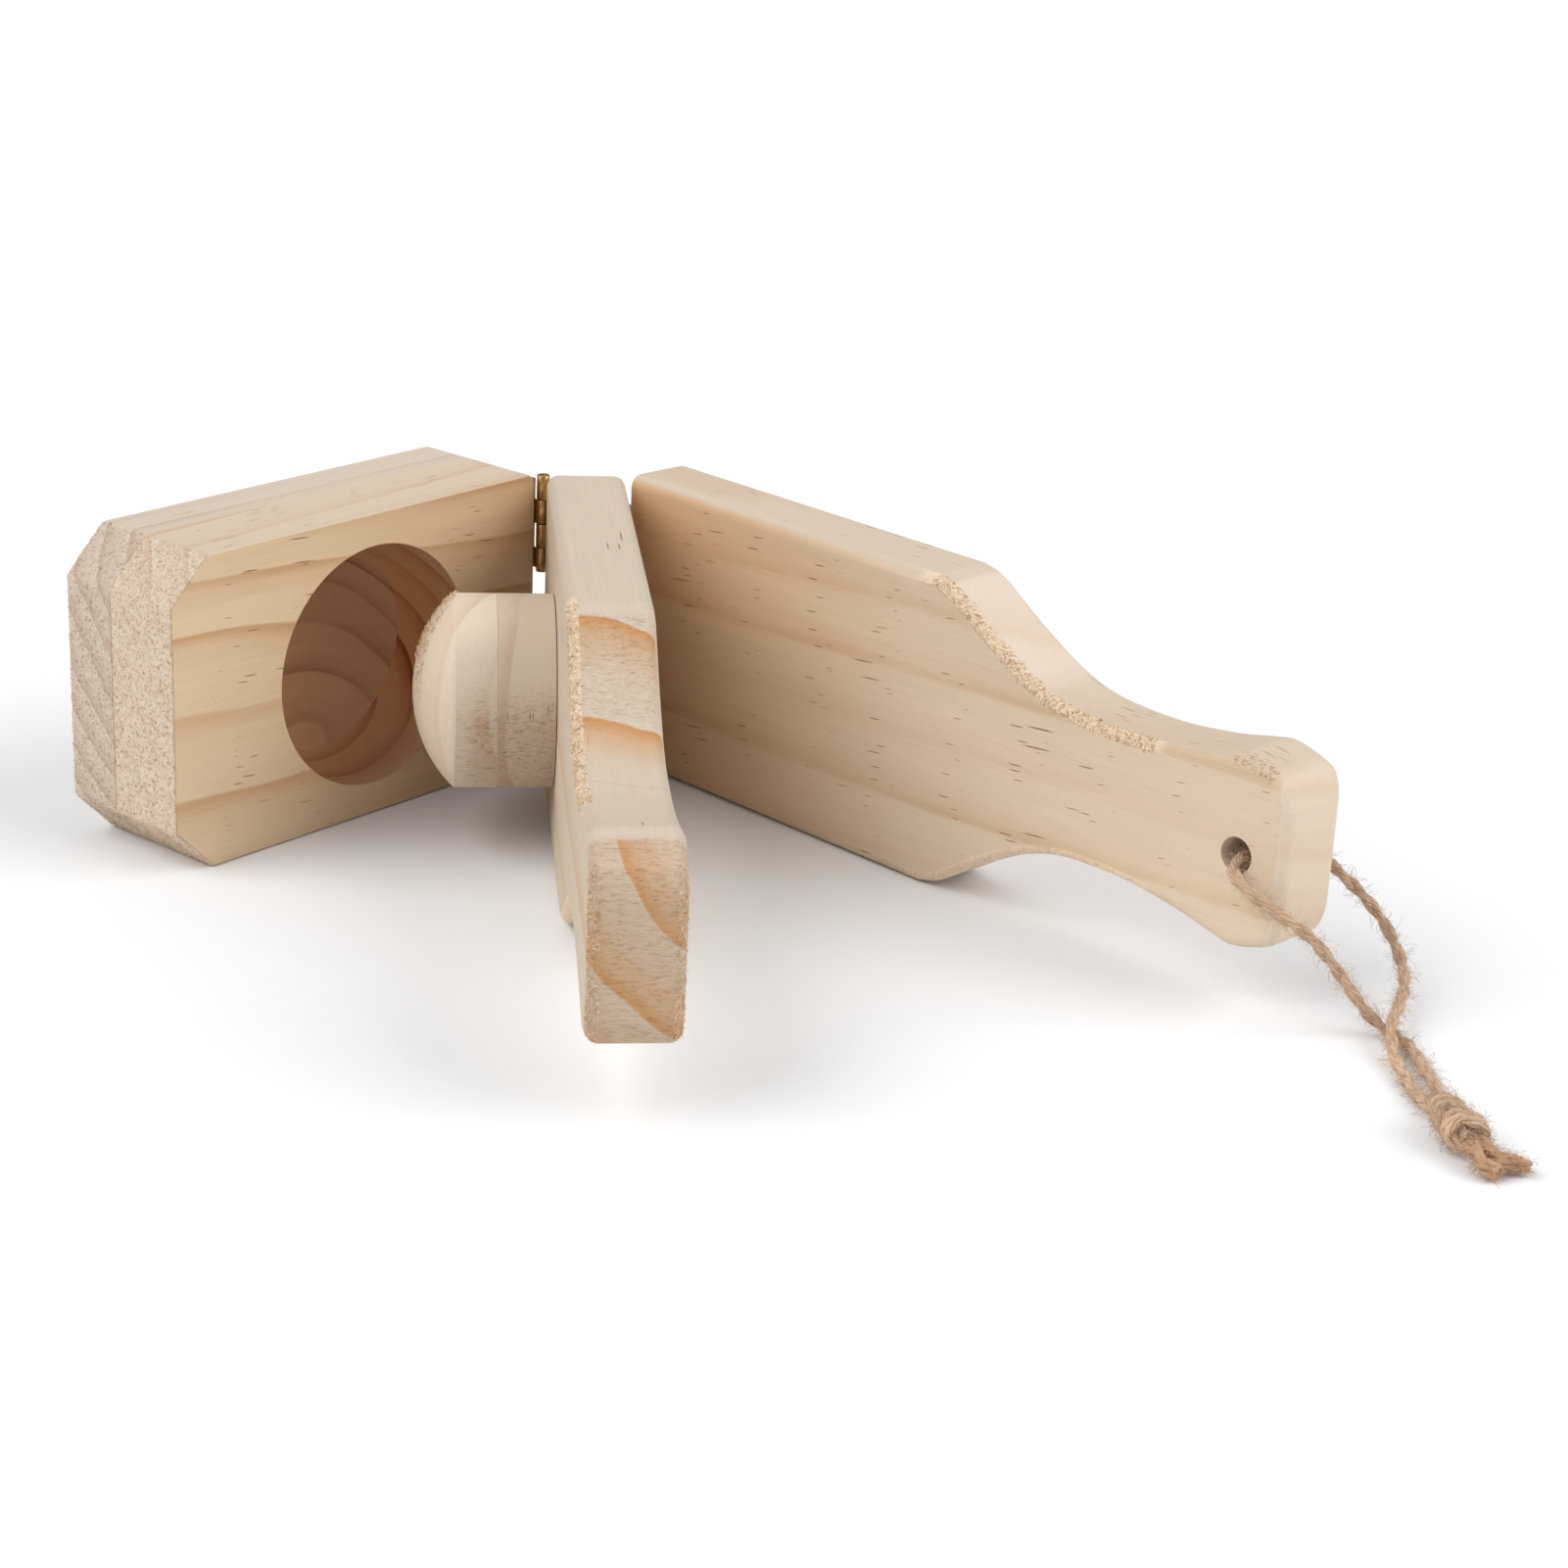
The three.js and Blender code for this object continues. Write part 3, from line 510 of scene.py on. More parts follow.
def settled(item):
    """The mesh of an object once its modifiers have acted; the object is removed."""
    bpy.context.view_layer.update()
    graph = bpy.context.evaluated_depsgraph_get()
    mesh = bpy.data.meshes.new_from_object(item.evaluated_get(graph))
    bpy.data.objects.remove(item)
    return mesh


def less(mesh, *cutters):
    """A mesh with the cutter meshes taken away."""
    item = as_object(mesh)
    tools = [as_object(cutter, "cutter") for cutter in cutters]
    for tool in tools:
        cut = item.modifiers.new("cut", "BOOLEAN")
        cut.operation, cut.solver, cut.object = "DIFFERENCE", "EXACT", tool
    result = settled(item)
    for tool in tools:
        bpy.data.objects.remove(tool)
    return result


def smoothed(mesh, below):
    """Shades a mesh smooth wherever its faces meet at less than an angle in degrees."""
    mesh.shade_smooth()
    mesh.set_sharp_from_angle(angle=math.radians(below))
    return mesh


def eased(mesh, width, keep_sharp=lambda point: False):
    """Breaks a mesh's sharp edges by a small round, and shades it smooth with its flats flat."""
    bm = bmesh.new()
    bm.from_mesh(mesh)
    bmesh.ops.remove_doubles(bm, verts=bm.verts, dist=1e-4)
    bmesh.ops.dissolve_degenerate(bm, edges=bm.edges, dist=1e-4)
    weights = bm.edges.layers.float.new("bevel_weight_edge")
    for edge in bm.edges:
        if len(edge.link_faces) == 2 and edge.calc_face_angle(0) > math.radians(EASED_ABOVE):
            if not all(keep_sharp(vertex.co) for vertex in edge.verts):
                edge[weights] = 1.0
    bm.to_mesh(mesh)
    bm.free()
    item = as_object(mesh)
    bevel = item.modifiers.new("eased edges", "BEVEL")
    bevel.limit_method, bevel.width, bevel.segments = "WEIGHT", width, 3
    bevel.use_clamp_overlap = True
    item = as_object(smoothed(settled(item), FLAT_BELOW))
    flats = item.modifiers.new("flat faces stay flat", "WEIGHTED_NORMAL")
    flats.keep_sharp, flats.weight = True, 90
    return settled(item)


def piece(name, mesh, material, body, stands_for=(), place=None):
    """Puts a finished mesh into the scene on its body."""
    if place is not None:
        mesh.transform(place)
    mesh.materials.clear()
    mesh.materials.append(material)
    item = as_object(mesh, name)
    mesh.name = name
    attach(item, body)
    if stands_for:
        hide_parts(*stands_for)
    return item


def prism(outline, low, high, to_point):
    """A closed solid from a flat outline between two depths."""
    bm = bmesh.new()
    loops = [[bm.verts.new(to_point(a, b, depth)) for a, b in outline] for depth in (low, high)]
    bm.faces.new(loops[0])
    bm.faces.new(loops[1])
    for i in range(len(outline)):
        j = (i + 1) % len(outline)
        bm.faces.new((loops[0][i], loops[0][j], loops[1][j], loops[1][i]))
    return made(bm)


def turned(profile, sides, to_point, ring=False):
    """A solid of revolution from (radius, distance) pairs; a ring's profile closes on itself."""
    bm = bmesh.new()
    rows = []
    for radius, along in profile:
        if radius < 1e-6:
            rows.append([bm.verts.new(to_point(0, 0, along))])
            continue
        turns = [2 * math.pi * i / sides for i in range(sides)]
        rows.append([
            bm.verts.new(to_point(radius * math.cos(turn), radius * math.sin(turn), along))
            for turn in turns])
    pairs = list(zip(rows, rows[1:])) + ([(rows[-1], rows[0])] if ring else [])
    for here, there in pairs:
        for i in range(sides):
            j = (i + 1) % sides
            corners = list(dict.fromkeys((
                here[i % len(here)], here[j % len(here)],
                there[j % len(there)], there[i % len(there)])))
            if len(corners) > 2:
                bm.faces.new(corners)
    return made(bm)


# ---- Paddles ------------------------------------------------------------------------------------

# The sides of a handle: shares of its length, and of the way from its neck to the full width
SHOULDER = [(0.05, 0.91), (0.15, 0.59), (0.225, 0.37), (0.3, 0.18), (0.38, 0.05), (0.47, 0)]
FLARE = [(0.6, 0.02), (0.74, 0.42), (0.83, 0.86), (0.885, 1)]


def spline(points, count):
    """Points along a uniform Catmull-Rom curve through the given ones."""
    points = [np.array(point, float) for point in points]
    last = len(points) - 1
    found = []
    for step in range(count + 1):
        place = last * step / count
        i = min(int(place), last - 1)
        t = place - i
        before, start = points[max(i - 1, 0)], points[i]
        end, after = points[i + 1], points[min(i + 2, last)]
        leave, arrive = (end - before) / 2, (after - start) / 2
        found.append(
            (2 * start - 2 * end + leave + arrive) * t**3
            + (-3 * start + 3 * end - 2 * leave - arrive) * t**2 + leave * t + start)
    return found


def paddle_outline():
    neck, flare, handle = NECK_WIDTH / 2, FLARE_WIDTH / 2, PADDLE_LENGTH - BODY_LENGTH
    side = [(BODY_LENGTH - 1, HALF_WIDTH)]
    for wide, shares in ((HALF_WIDTH, SHOULDER), (flare, FLARE)):
        side += [(BODY_LENGTH + a * handle, neck + (wide - neck) * share) for a, share in shares]
    for degrees in (50, 25, 0):
        turn = math.radians(degrees)
        side.append((
            PADDLE_LENGTH - HANDLE_CORNER * (1 - math.cos(turn)),
            flare - HANDLE_CORNER * (1 - math.sin(turn)) - 0.6))
    curve = spline(side, 150)

    def centre(u):
        t = min(max((u - BODY_LENGTH) / handle, 0), 1)
        return HALF_WIDTH - HANDLE_DROP * t * t * (3 - 2 * t)

    start = -2 * PADDLE_EDGE_ROUND
    lower = [(start, 0.0)] + [(k * 10.0, 0.0) for k in range(1, 10)]
    upper = [(u, BOARD_WIDTH) for u, _ in reversed(lower)]
    lower += [(u, centre(u) - half) for u, half in curve]
    upper = [(u, centre(u) + half) for u, half in reversed(curve)] + upper
    return lower + upper


def inset(outline, distance):
    """An outline moved inwards, its sides kept parallel; a tight corner closes up."""
    points = np.array(outline)
    ahead = np.roll(points, -1, 0) - points
    ahead /= np.linalg.norm(ahead, axis=1)[:, None]
    inward = np.stack([-ahead[:, 1], ahead[:, 0]], 1)
    both = inward + np.roll(inward, 1, 0)
    both /= np.linalg.norm(both, axis=1)[:, None]
    stretch = 1 / np.maximum((both * inward).sum(1), 0.3)
    moved = points + both * (distance * stretch)[:, None]
    for _ in range(200):
        folded = ((np.roll(moved, -1, 0) - moved) * ahead).sum(1) < -1e-9
        if not folded.any():
            break
        for i in np.flatnonzero(folded):
            j = (i + 1) % len(moved)
            moved[i] = moved[j] = (moved[i] + moved[j]) / 2
    return moved


def paddle_mesh(near, hole):
    outline = paddle_outline()
    far, edge = near + PADDLE_THICKNESS, PADDLE_EDGE_ROUND
    steps = 8
    rings = [(near, edge + 0.4)]
    for k in range(steps + 1):
        turn = math.radians(90 * k / steps)
        rings.append((near + edge * (1 - math.cos(turn)), edge * (1 - math.sin(turn))))
    rings += [(near + far - x, back) for x, back in reversed(rings)]
    bm = bmesh.new()
    loops = []
    for x, back in rings:
        loops.append([
            bm.verts.new((x, -PIN_TO_END - u, z)) for u, z in inset(outline, back)])
    for here, there in zip(loops, loops[1:]):
        for i in range(len(outline)):
            j = (i + 1) % len(outline)
            bm.faces.new((here[i], here[j], there[j], there[i]))
    bm.faces.new(loops[0])
    bm.faces.new(loops[-1])
    cut = bmesh.ops.bisect_plane(
        bm, geom=bm.verts[:] + bm.edges[:] + bm.faces[:], dist=1e-5,
        plane_co=(0, -PIN_TO_END, 0), plane_no=(0, 1, 0), clear_outer=True)
    rim = [edge for edge in cut["geom_cut"] if isinstance(edge, bmesh.types.BMEdge)]
    bmesh.ops.edgeloop_fill(bm, edges=rim)
    bmesh.ops.remove_doubles(bm, verts=bm.verts[:], dist=1e-3)
    bmesh.ops.dissolve_degenerate(bm, edges=bm.edges[:], dist=1e-4)
    mesh = made(bm)
    if hole:
        radius = CORD_HOLE_DIAMETER / 2
        hole_y, hole_z = -PIN_TO_END - PADDLE_LENGTH + CORD_HOLE_FROM_END, HALF_WIDTH - 1.5
        drill = turned([(0, -20), (radius, -20), (radius, 50), (0, 50)], 64,
                       lambda a, b, along: (along, hole_y + a, hole_z + b))
        mesh = less(mesh, drill)
    return eased(mesh, PADDLE_EASE)


middle_board, plain_board = (
    piece(f"{body}_board", paddle_mesh(near, hole), pine, body, [body], swung(body))
    for body, near, hole, pine in (
        ("middle_paddle", PIN_TO_FACE, False, middle_pine),
        ("plain_paddle", PLAIN_PIN_TO_FACE, True, plain_pine)))


# ---- Cup block ----------------------------------------------------------------------------------


def block_outline(length):
    corner, cut = BLOCK_HINGE_CORNER, BLOCK_CHAMFER
    points = [(length - cut, 0), (length, cut), (length, BOARD_WIDTH - cut),
              (length - cut, BOARD_WIDTH)]
    for centre_z, start in ((BOARD_WIDTH - corner, 90), (corner, 180)):
        for k in range(9):
            turn = math.radians(start + 90 * k / 8)
            points.append((corner + corner * math.cos(turn), centre_z + corner * math.sin(turn)))
    return points


PRESS_Y = -PIN_TO_END - PRESS_STATION  # the axis of the cup and the plunger


def cup_cutter():
    """The hollow of the cup: a squared-off oval, turned about the press's axis."""
    radius, steps, power = CUP_DIAMETER / 2, 56, 2 / CUP_SQUARENESS
    profile = [(0, -2), (radius, -2)]
    for i in range(steps):
        turn = math.radians(90 * i / steps)
        profile.append((radius * math.cos(turn) ** power, CUP_DEPTH * math.sin(turn) ** power))
    profile.append((0, CUP_DEPTH))
    return turned(
        profile, 128, lambda a, b, along: (-PIN_TO_FACE - along, PRESS_Y + a, HALF_WIDTH + b))


def block_board(near, far, length, seam):
    mesh = prism(block_outline(length), near, far, lambda u, z, x: (x, -PIN_TO_END - u, z))

    def kept_crisp(point):
        """The glued seam, and the cup with its rim."""
        return abs(point.x - seam) < 1e-3 or math.hypot(
            point.y - PRESS_Y, point.z - HALF_WIDTH) < CUP_DIAMETER / 2 + 0.5

    return eased(less(mesh, cup_cutter()), BLOCK_EASE, keep_sharp=kept_crisp)


inner_board, outer_board = (
    piece(f"cup_block_{side}_board", block_board(near, far, length, seam), pine, "cup_block",
          [f"cup_block_{node}_board"], swung("cup_block"))
    for side, node, near, far, length, seam, pine in (
        ("face", "inner", -PIN_TO_FACE, -GLUE_DEPTH, BLOCK_LENGTH, -GLUE_DEPTH, block_inner_pine),
        ("back", "outer", -GLUE_DEPTH - GLUE_LINE, -PIN_TO_FACE - BLOCK_THICKNESS,
         BLOCK_LENGTH + OUTER_BOARD_OVERHANG, -GLUE_DEPTH - GLUE_LINE, block_outer_pine)))


# ---- Plunger ------------------------------------------------------------------------------------


def plunger_point(a, b, along):
    return (PIN_TO_FACE - along, PRESS_Y + a, HALF_WIDTH + b)


def plunger_ply(start, shoulder, dome):
    radius, ease = PLUNGER_DIAMETER / 2, 0.25
    profile = [(0, start), (radius - 0.08, start), (radius, start + 0.08)]
    if dome:
        sphere = (radius**2 + dome**2) / (2 * dome)
        profile += [(radius, shoulder - ease), (radius - ease * 0.4, shoulder - ease * 0.1)]
        for i in range(1, 40):
            across = (radius - ease) * (1 - i / 40)
            profile.append((across, shoulder + math.sqrt(sphere**2 - across**2) - (sphere - dome)))
        profile.append((0, shoulder + dome))
    else:
        profile += [(radius, shoulder - 0.08), (radius - 0.08, shoulder), (0, shoulder)]
    return smoothed(turned(profile, 128, plunger_point), FLAT_BELOW)


base_ply, tip_ply = (
    piece(f"plunger_{end}_ply", plunger_ply(start, shoulder, dome), pine, "middle_paddle",
          [f"plunger_{end}"], swung("middle_paddle"))
    for end, start, shoulder, dome, pine in (
        ("base", 0.2, PLUNGER_BASE_PLY, 0, plunger_base_pine),
        ("tip", PLUNGER_BASE_PLY + GLUE_LINE, PLUNGER_SHOULDER, PLUNGER_DOME, plunger_tip_pine)))


# ---- Hinges -------------------------------------------------------------------------------------

LEAF_BACK, LEAF_FACE = -BARREL_RADIUS, LEAF_THICKNESS - BARREL_RADIUS
LEAF_CORNER, LEAF_TRIM = 1.2, 1.1  # the plate stops short of the barrel's ends by its trim


def hinge_places(inset):
    return {"lower": inset, "upper": BOARD_WIDTH - inset - HINGE_LENGTH}


def screw_heights(low):
    middle = low + HINGE_LENGTH / 2
    return (middle - SCREW_SPACING / 2, middle + SCREW_SPACING / 2)


def joined(meshes):
    bm = bmesh.new()
    for mesh in meshes:
        bm.from_mesh(mesh)
    result = bpy.data.meshes.new("joined")
    bm.to_mesh(result)
    bm.free()
    return result


def hinge_leaf(side, low, owns_top):
    """A leaf and its knuckles, rolled from one strip, drawn about the pin's own axis."""
    pitch, rim, bore = HINGE_LENGTH / KNUCKLES, 0.14, PIN_RADIUS + 0.05
    plate_low, plate_high = low + LEAF_TRIM, low + HINGE_LENGTH - LEAF_TRIM
    inner, knuckles = [], []
    for i in range(KNUCKLES):
        own = ((KNUCKLES - 1 - i) % 2 == 0) == owns_top
        gap = KNUCKLE_GAP / 2 if own else -KNUCKLE_GAP / 2
        bottom = low + i * pitch + (gap if i > 0 else 0)
        top = low + (i + 1) * pitch - (gap if i < KNUCKLES - 1 else 0)
        reach = 0.0 if own else BARREL_RADIUS + 0.35
        inner += [(reach, max(bottom, plate_low)), (reach, min(top, plate_high))]
        if own:
            knuckles.append(turned(
                [(bore, bottom), (BARREL_RADIUS - rim, bottom), (BARREL_RADIUS, bottom + rim),
                 (BARREL_RADIUS, top - rim), (BARREL_RADIUS - rim, top), (bore, top)],
                40, lambda *point: point, ring=True))
    outer = []
    for centre_z, start in ((plate_high - LEAF_CORNER, 90), (plate_low + LEAF_CORNER, 0)):
        for k in range(6):
            turn = math.radians(start - 90 * k / 5)
            outer.append((LEAF_REACH - LEAF_CORNER + LEAF_CORNER * math.cos(turn),
                          centre_z + LEAF_CORNER * math.sin(turn)))
    outline = [(side * x, z) for x, z in inner + outer]
    plate = prism(outline, LEAF_BACK, LEAF_FACE, lambda x, z, y: (x, y, z))
    sink = SCREW_HEAD / 2 + 0.15
    sinks = [
        turned([(0, -3), (1.3, -3), (1.3, -0.8), (sink, 0.02), (sink, 1), (0, 1)], 32,
               lambda a, b, along, z=z: (side * SCREW_REACH + a, LEAF_FACE + along, z + b))
        for z in screw_heights(low)]
    plate = eased(less(plate, *sinks), 0.1)
    return joined([plate, *(smoothed(knuckle, ROLLED_BELOW) for knuckle in knuckles)])


def hinge_pin(low):
    """A drawn wire pin with slightly domed ends."""
    bottom, top, dome = low + 0.1, low + HINGE_LENGTH - 0.1, 0.18
    profile = [(0, bottom), (PIN_RADIUS * 0.6, bottom + 0.05), (PIN_RADIUS, bottom + dome),
               (PIN_RADIUS, top - dome), (PIN_RADIUS * 0.6, top - 0.05), (0, top)]
    return smoothed(turned(profile, 28, lambda *point: point), ROLLED_BELOW)


def screw_mesh():
    """The part of a countersunk cross-head screw that shows, about its own z axis."""
    head, depth = SCREW_HEAD / 2, 0.85
    mesh = turned(
        [(0, -2.4), (1.05, -2.4), (1.05, -depth), (head, -0.06), (head - 0.06, 0), (0, 0)], 32,
        lambda *point: point)
    slots = []
    for long_x, long_y in ((1.15, 0.24), (0.24, 1.15)):
        outline = [(-long_x, -long_y), (long_x, -long_y), (long_x, long_y), (-long_x, long_y)]
        slots.append(prism(outline, -0.55, 0.3, lambda *point: point))
    return eased(less(mesh, *slots), 0.05)


def tree_of(name, sockets):
    """A Geometry Nodes tree with named inputs: returns the tree and its input node's sockets."""
    tree = bpy.data.node_groups.new(name, "GeometryNodeTree")
    tree.interface.new_socket("Geometry", in_out="INPUT", socket_type="NodeSocketGeometry")
    for label, kind in sockets:
        tree.interface.new_socket(label, in_out="INPUT", socket_type=kind)
    tree.interface.new_socket("Geometry", in_out="OUTPUT", socket_type="NodeSocketGeometry")
    return tree, add(tree, "NodeGroupInput").outputs


def ended(tree, geometry, material):
    """Closes a Geometry Nodes tree: every instance made real, in one material."""
    real = add(tree, "GeometryNodeRealizeInstances", (), [geometry])
    coloured = add(tree, "GeometryNodeSetMaterial", (), {0: real, "Material": material})
    add(tree, "NodeGroupOutput", (), [coloured])
    return tree


def grown(tree, mesh, values):
    """The mesh that a tree makes of a starting mesh, with its inputs set by name."""
    item = as_object(mesh)
    nodes = item.modifiers.new(tree.name, "NODES")
    nodes.node_group = tree
    for socket in tree.interface.items_tree:
        if socket.in_out == "INPUT" and socket.name in values:
            nodes[socket.identifier] = values[socket.name]
    return settled(item)


def screws_tree():
    tree, given = tree_of("screws", [
        ("Screw", "NodeSocketObject"), ("Facing", "NodeSocketVector"), ("Seed", "NodeSocketInt"),
        ("Material", "NodeSocketMaterial")])
    one = add(tree, "GeometryNodeObjectInfo", (), {"Object": given["Screw"]})
    aim = add(tree, "FunctionNodeAlignRotationToVector", {"axis": "Z"}, {
        "Vector": given["Facing"]})
    turn = add(tree, "FunctionNodeRandomValue", {"data_type": "FLOAT"}, {
        2: 0.0, 3: math.pi, "Seed": given["Seed"]})
    spin = add(tree, "FunctionNodeAxisAngleToRotation", (), {"Axis": (0, 0, 1), "Angle": turn})
    aimed = add(tree, "FunctionNodeRotateRotation", {"rotation_space": "LOCAL"}, [aim, spin])
    placed = add(tree, "GeometryNodeInstanceOnPoints", (), {
        "Points": given["Geometry"], "Instance": one.outputs["Geometry"], "Rotation": aimed})
    return ended(tree, placed, given["Material"])


screw_tree = screws_tree()
screw_part = screw_mesh()
screw_part.transform(Matrix.Scale(MM, 4))
screw_pattern = as_object(screw_part, "screw_pattern")
screw_places = {"middle_paddle": [], "cup_block": [], "plain_paddle": []}
for label, fixed_frame, moving, side, inset_z in (
    ("cup", "middle_paddle", "cup_block", 1, CUP_HINGE_INSET),
    ("plain", "middle_paddle_right", "plain_paddle", -1, PLAIN_HINGE_INSET),
):
    for place, low in hinge_places(inset_z).items():
        node = f"{label}_hinge_{place}"
        for part, board, leaf_side, owns_top in (
            ("fixed", fixed_frame, side, True), ("moving", moving, -side, False),
        ):
            body = "middle_paddle" if part == "fixed" else moving
            piece(f"{node}_{part}_strip", hinge_leaf(leaf_side, low, owns_top), brass, body,
                  [f"{node}_{part}_leaf"], swung(board))
            for z in screw_heights(low):
                seat = swung(board) @ Vector((leaf_side * SCREW_REACH, LEAF_FACE - SCREW_SUNK, z))
                screw_places[body].append(seat)
        piece(f"{node}_wire_pin", hinge_pin(low), brass, "middle_paddle",
              [f"{node}_pin"], swung(fixed_frame))
for seed, (body, places) in enumerate(screw_places.items()):
    points = bpy.data.meshes.new("screw places")
    points.from_pydata([tuple(place) for place in places], [], [])
    outward = swung(body).to_3x3() @ Vector((0, 1, 0))
    mesh = grown(screw_tree, points, {
        "Screw": screw_pattern, "Facing": tuple(outward.normalized()), "Seed": seed,
        "Material": brass})
    sides = ("cup", "plain") if body == "middle_paddle" else (body.split("_")[0],)
    kind = "fixed" if body == "middle_paddle" else "moving"
    nodes = [f"{side}_hinge_{place}_{kind}_screw_{n}"
             for side in sides for place in ("lower", "upper") for n in (1, 2)]
    piece(f"{body}_screws", mesh, brass, body, nodes)
bpy.data.objects.remove(screw_pattern)


# ---- Cord ---------------------------------------------------------------------------------------

# Centre lines in millimetres: from inside the hole in the plain paddle's handle to the knot.
FRONT_STRAND = [
    (138.3, -94.1, 35.2), (132.3, -98.8, 34.9), (130.7, -104.6, 33.4), (136.5, -112.2, 29.6),
    (146.3, -113.0, 22.6), (154.3, -112.6, 13.0), (159.9, -112.3, 5.6), (164.5, -113.6, 1.8),
    (167.1, -119.9, 1.6), (167.5, -128.4, 1.6), (167.3, -138.4, 1.6), (166.9, -147.4, 1.7),
    (166.3, -155.4, 3.2)]
BACK_STRAND = [
    (138.8, -93.7, 35.2), (145.2, -88.7, 34.9), (152.9, -85.2, 31.6), (161.4, -85.9, 25.0),
    (169.1, -87.9, 17.0), (172.5, -93.4, 10.4), (171.5, -101.9, 7.0), (167.9, -110.2, 5.8),
    (164.3, -117.6, 5.0), (162.3, -126.4, 2.4), (161.9, -136.4, 1.6), (162.3, -146.4, 1.7),
    (163.3, -155.4, 3.2)]
KNOT_CENTRE = Vector((164.5, -164.9, 4.9))
TAIL_NEAR = [(164.6, -171.0, 4.4), (164.8, -174.2, 3.6), (165.8, -177.2, 2.6), (167.4, -179.6, 2.1)]
TAIL_FAR = [(165.6, -170.4, 4.6), (167.6, -173.6, 3.8), (170.4, -175.8, 2.8), (174.6, -176.9, 2.1)]


def smooth_path(points, spacing):
    """Points at an even spacing along a centripetal Catmull-Rom curve."""
    knots = [np.array(p, float) for p in points]
    knots = [2 * knots[0] - knots[1]] + knots + [2 * knots[-1] - knots[-2]]
    dense = []
    for p0, p1, p2, p3 in zip(knots, knots[1:], knots[2:], knots[3:]):
        t0 = 0.0
        t1 = t0 + np.linalg.norm(p1 - p0) ** 0.5
        t2 = t1 + np.linalg.norm(p2 - p1) ** 0.5
        t3 = t2 + np.linalg.norm(p3 - p2) ** 0.5
        for t in np.linspace(t1, t2, 24, endpoint=False):
            a1 = (t1 - t) / (t1 - t0) * p0 + (t - t0) / (t1 - t0) * p1
            a2 = (t2 - t) / (t2 - t1) * p1 + (t - t1) / (t2 - t1) * p2
            a3 = (t3 - t) / (t3 - t2) * p2 + (t - t2) / (t3 - t2) * p3
            b1 = (t2 - t) / (t2 - t0) * a1 + (t - t0) / (t2 - t0) * a2
            b2 = (t3 - t) / (t3 - t1) * a2 + (t - t1) / (t3 - t1) * a3
            dense.append((t2 - t) / (t2 - t1) * b1 + (t - t1) / (t2 - t1) * b2)
    dense = np.array(dense + [knots[-2]])
    travelled = np.concatenate([[0], np.cumsum(np.linalg.norm(np.diff(dense, axis=0), axis=1))])
    count = max(2, round(travelled[-1] / spacing))
    even = np.linspace(0, travelled[-1], count + 1)
    return np.stack([np.interp(even, travelled, dense[:, k]) for k in range(3)], 1) * MM


def wires(paths):
    """Polylines as one mesh of edges."""
    points, edges = [], []
    for path in paths:
        start = len(points)
        points += [tuple(p) for p in path]
        edges += [(start + i, start + i + 1) for i in range(len(path) - 1)]
    mesh = bpy.data.meshes.new("wires")
    mesh.from_pydata(points, edges, [])
    return mesh


ON_POINTS = {"data_type": "FLOAT", "domain": "POINT"}


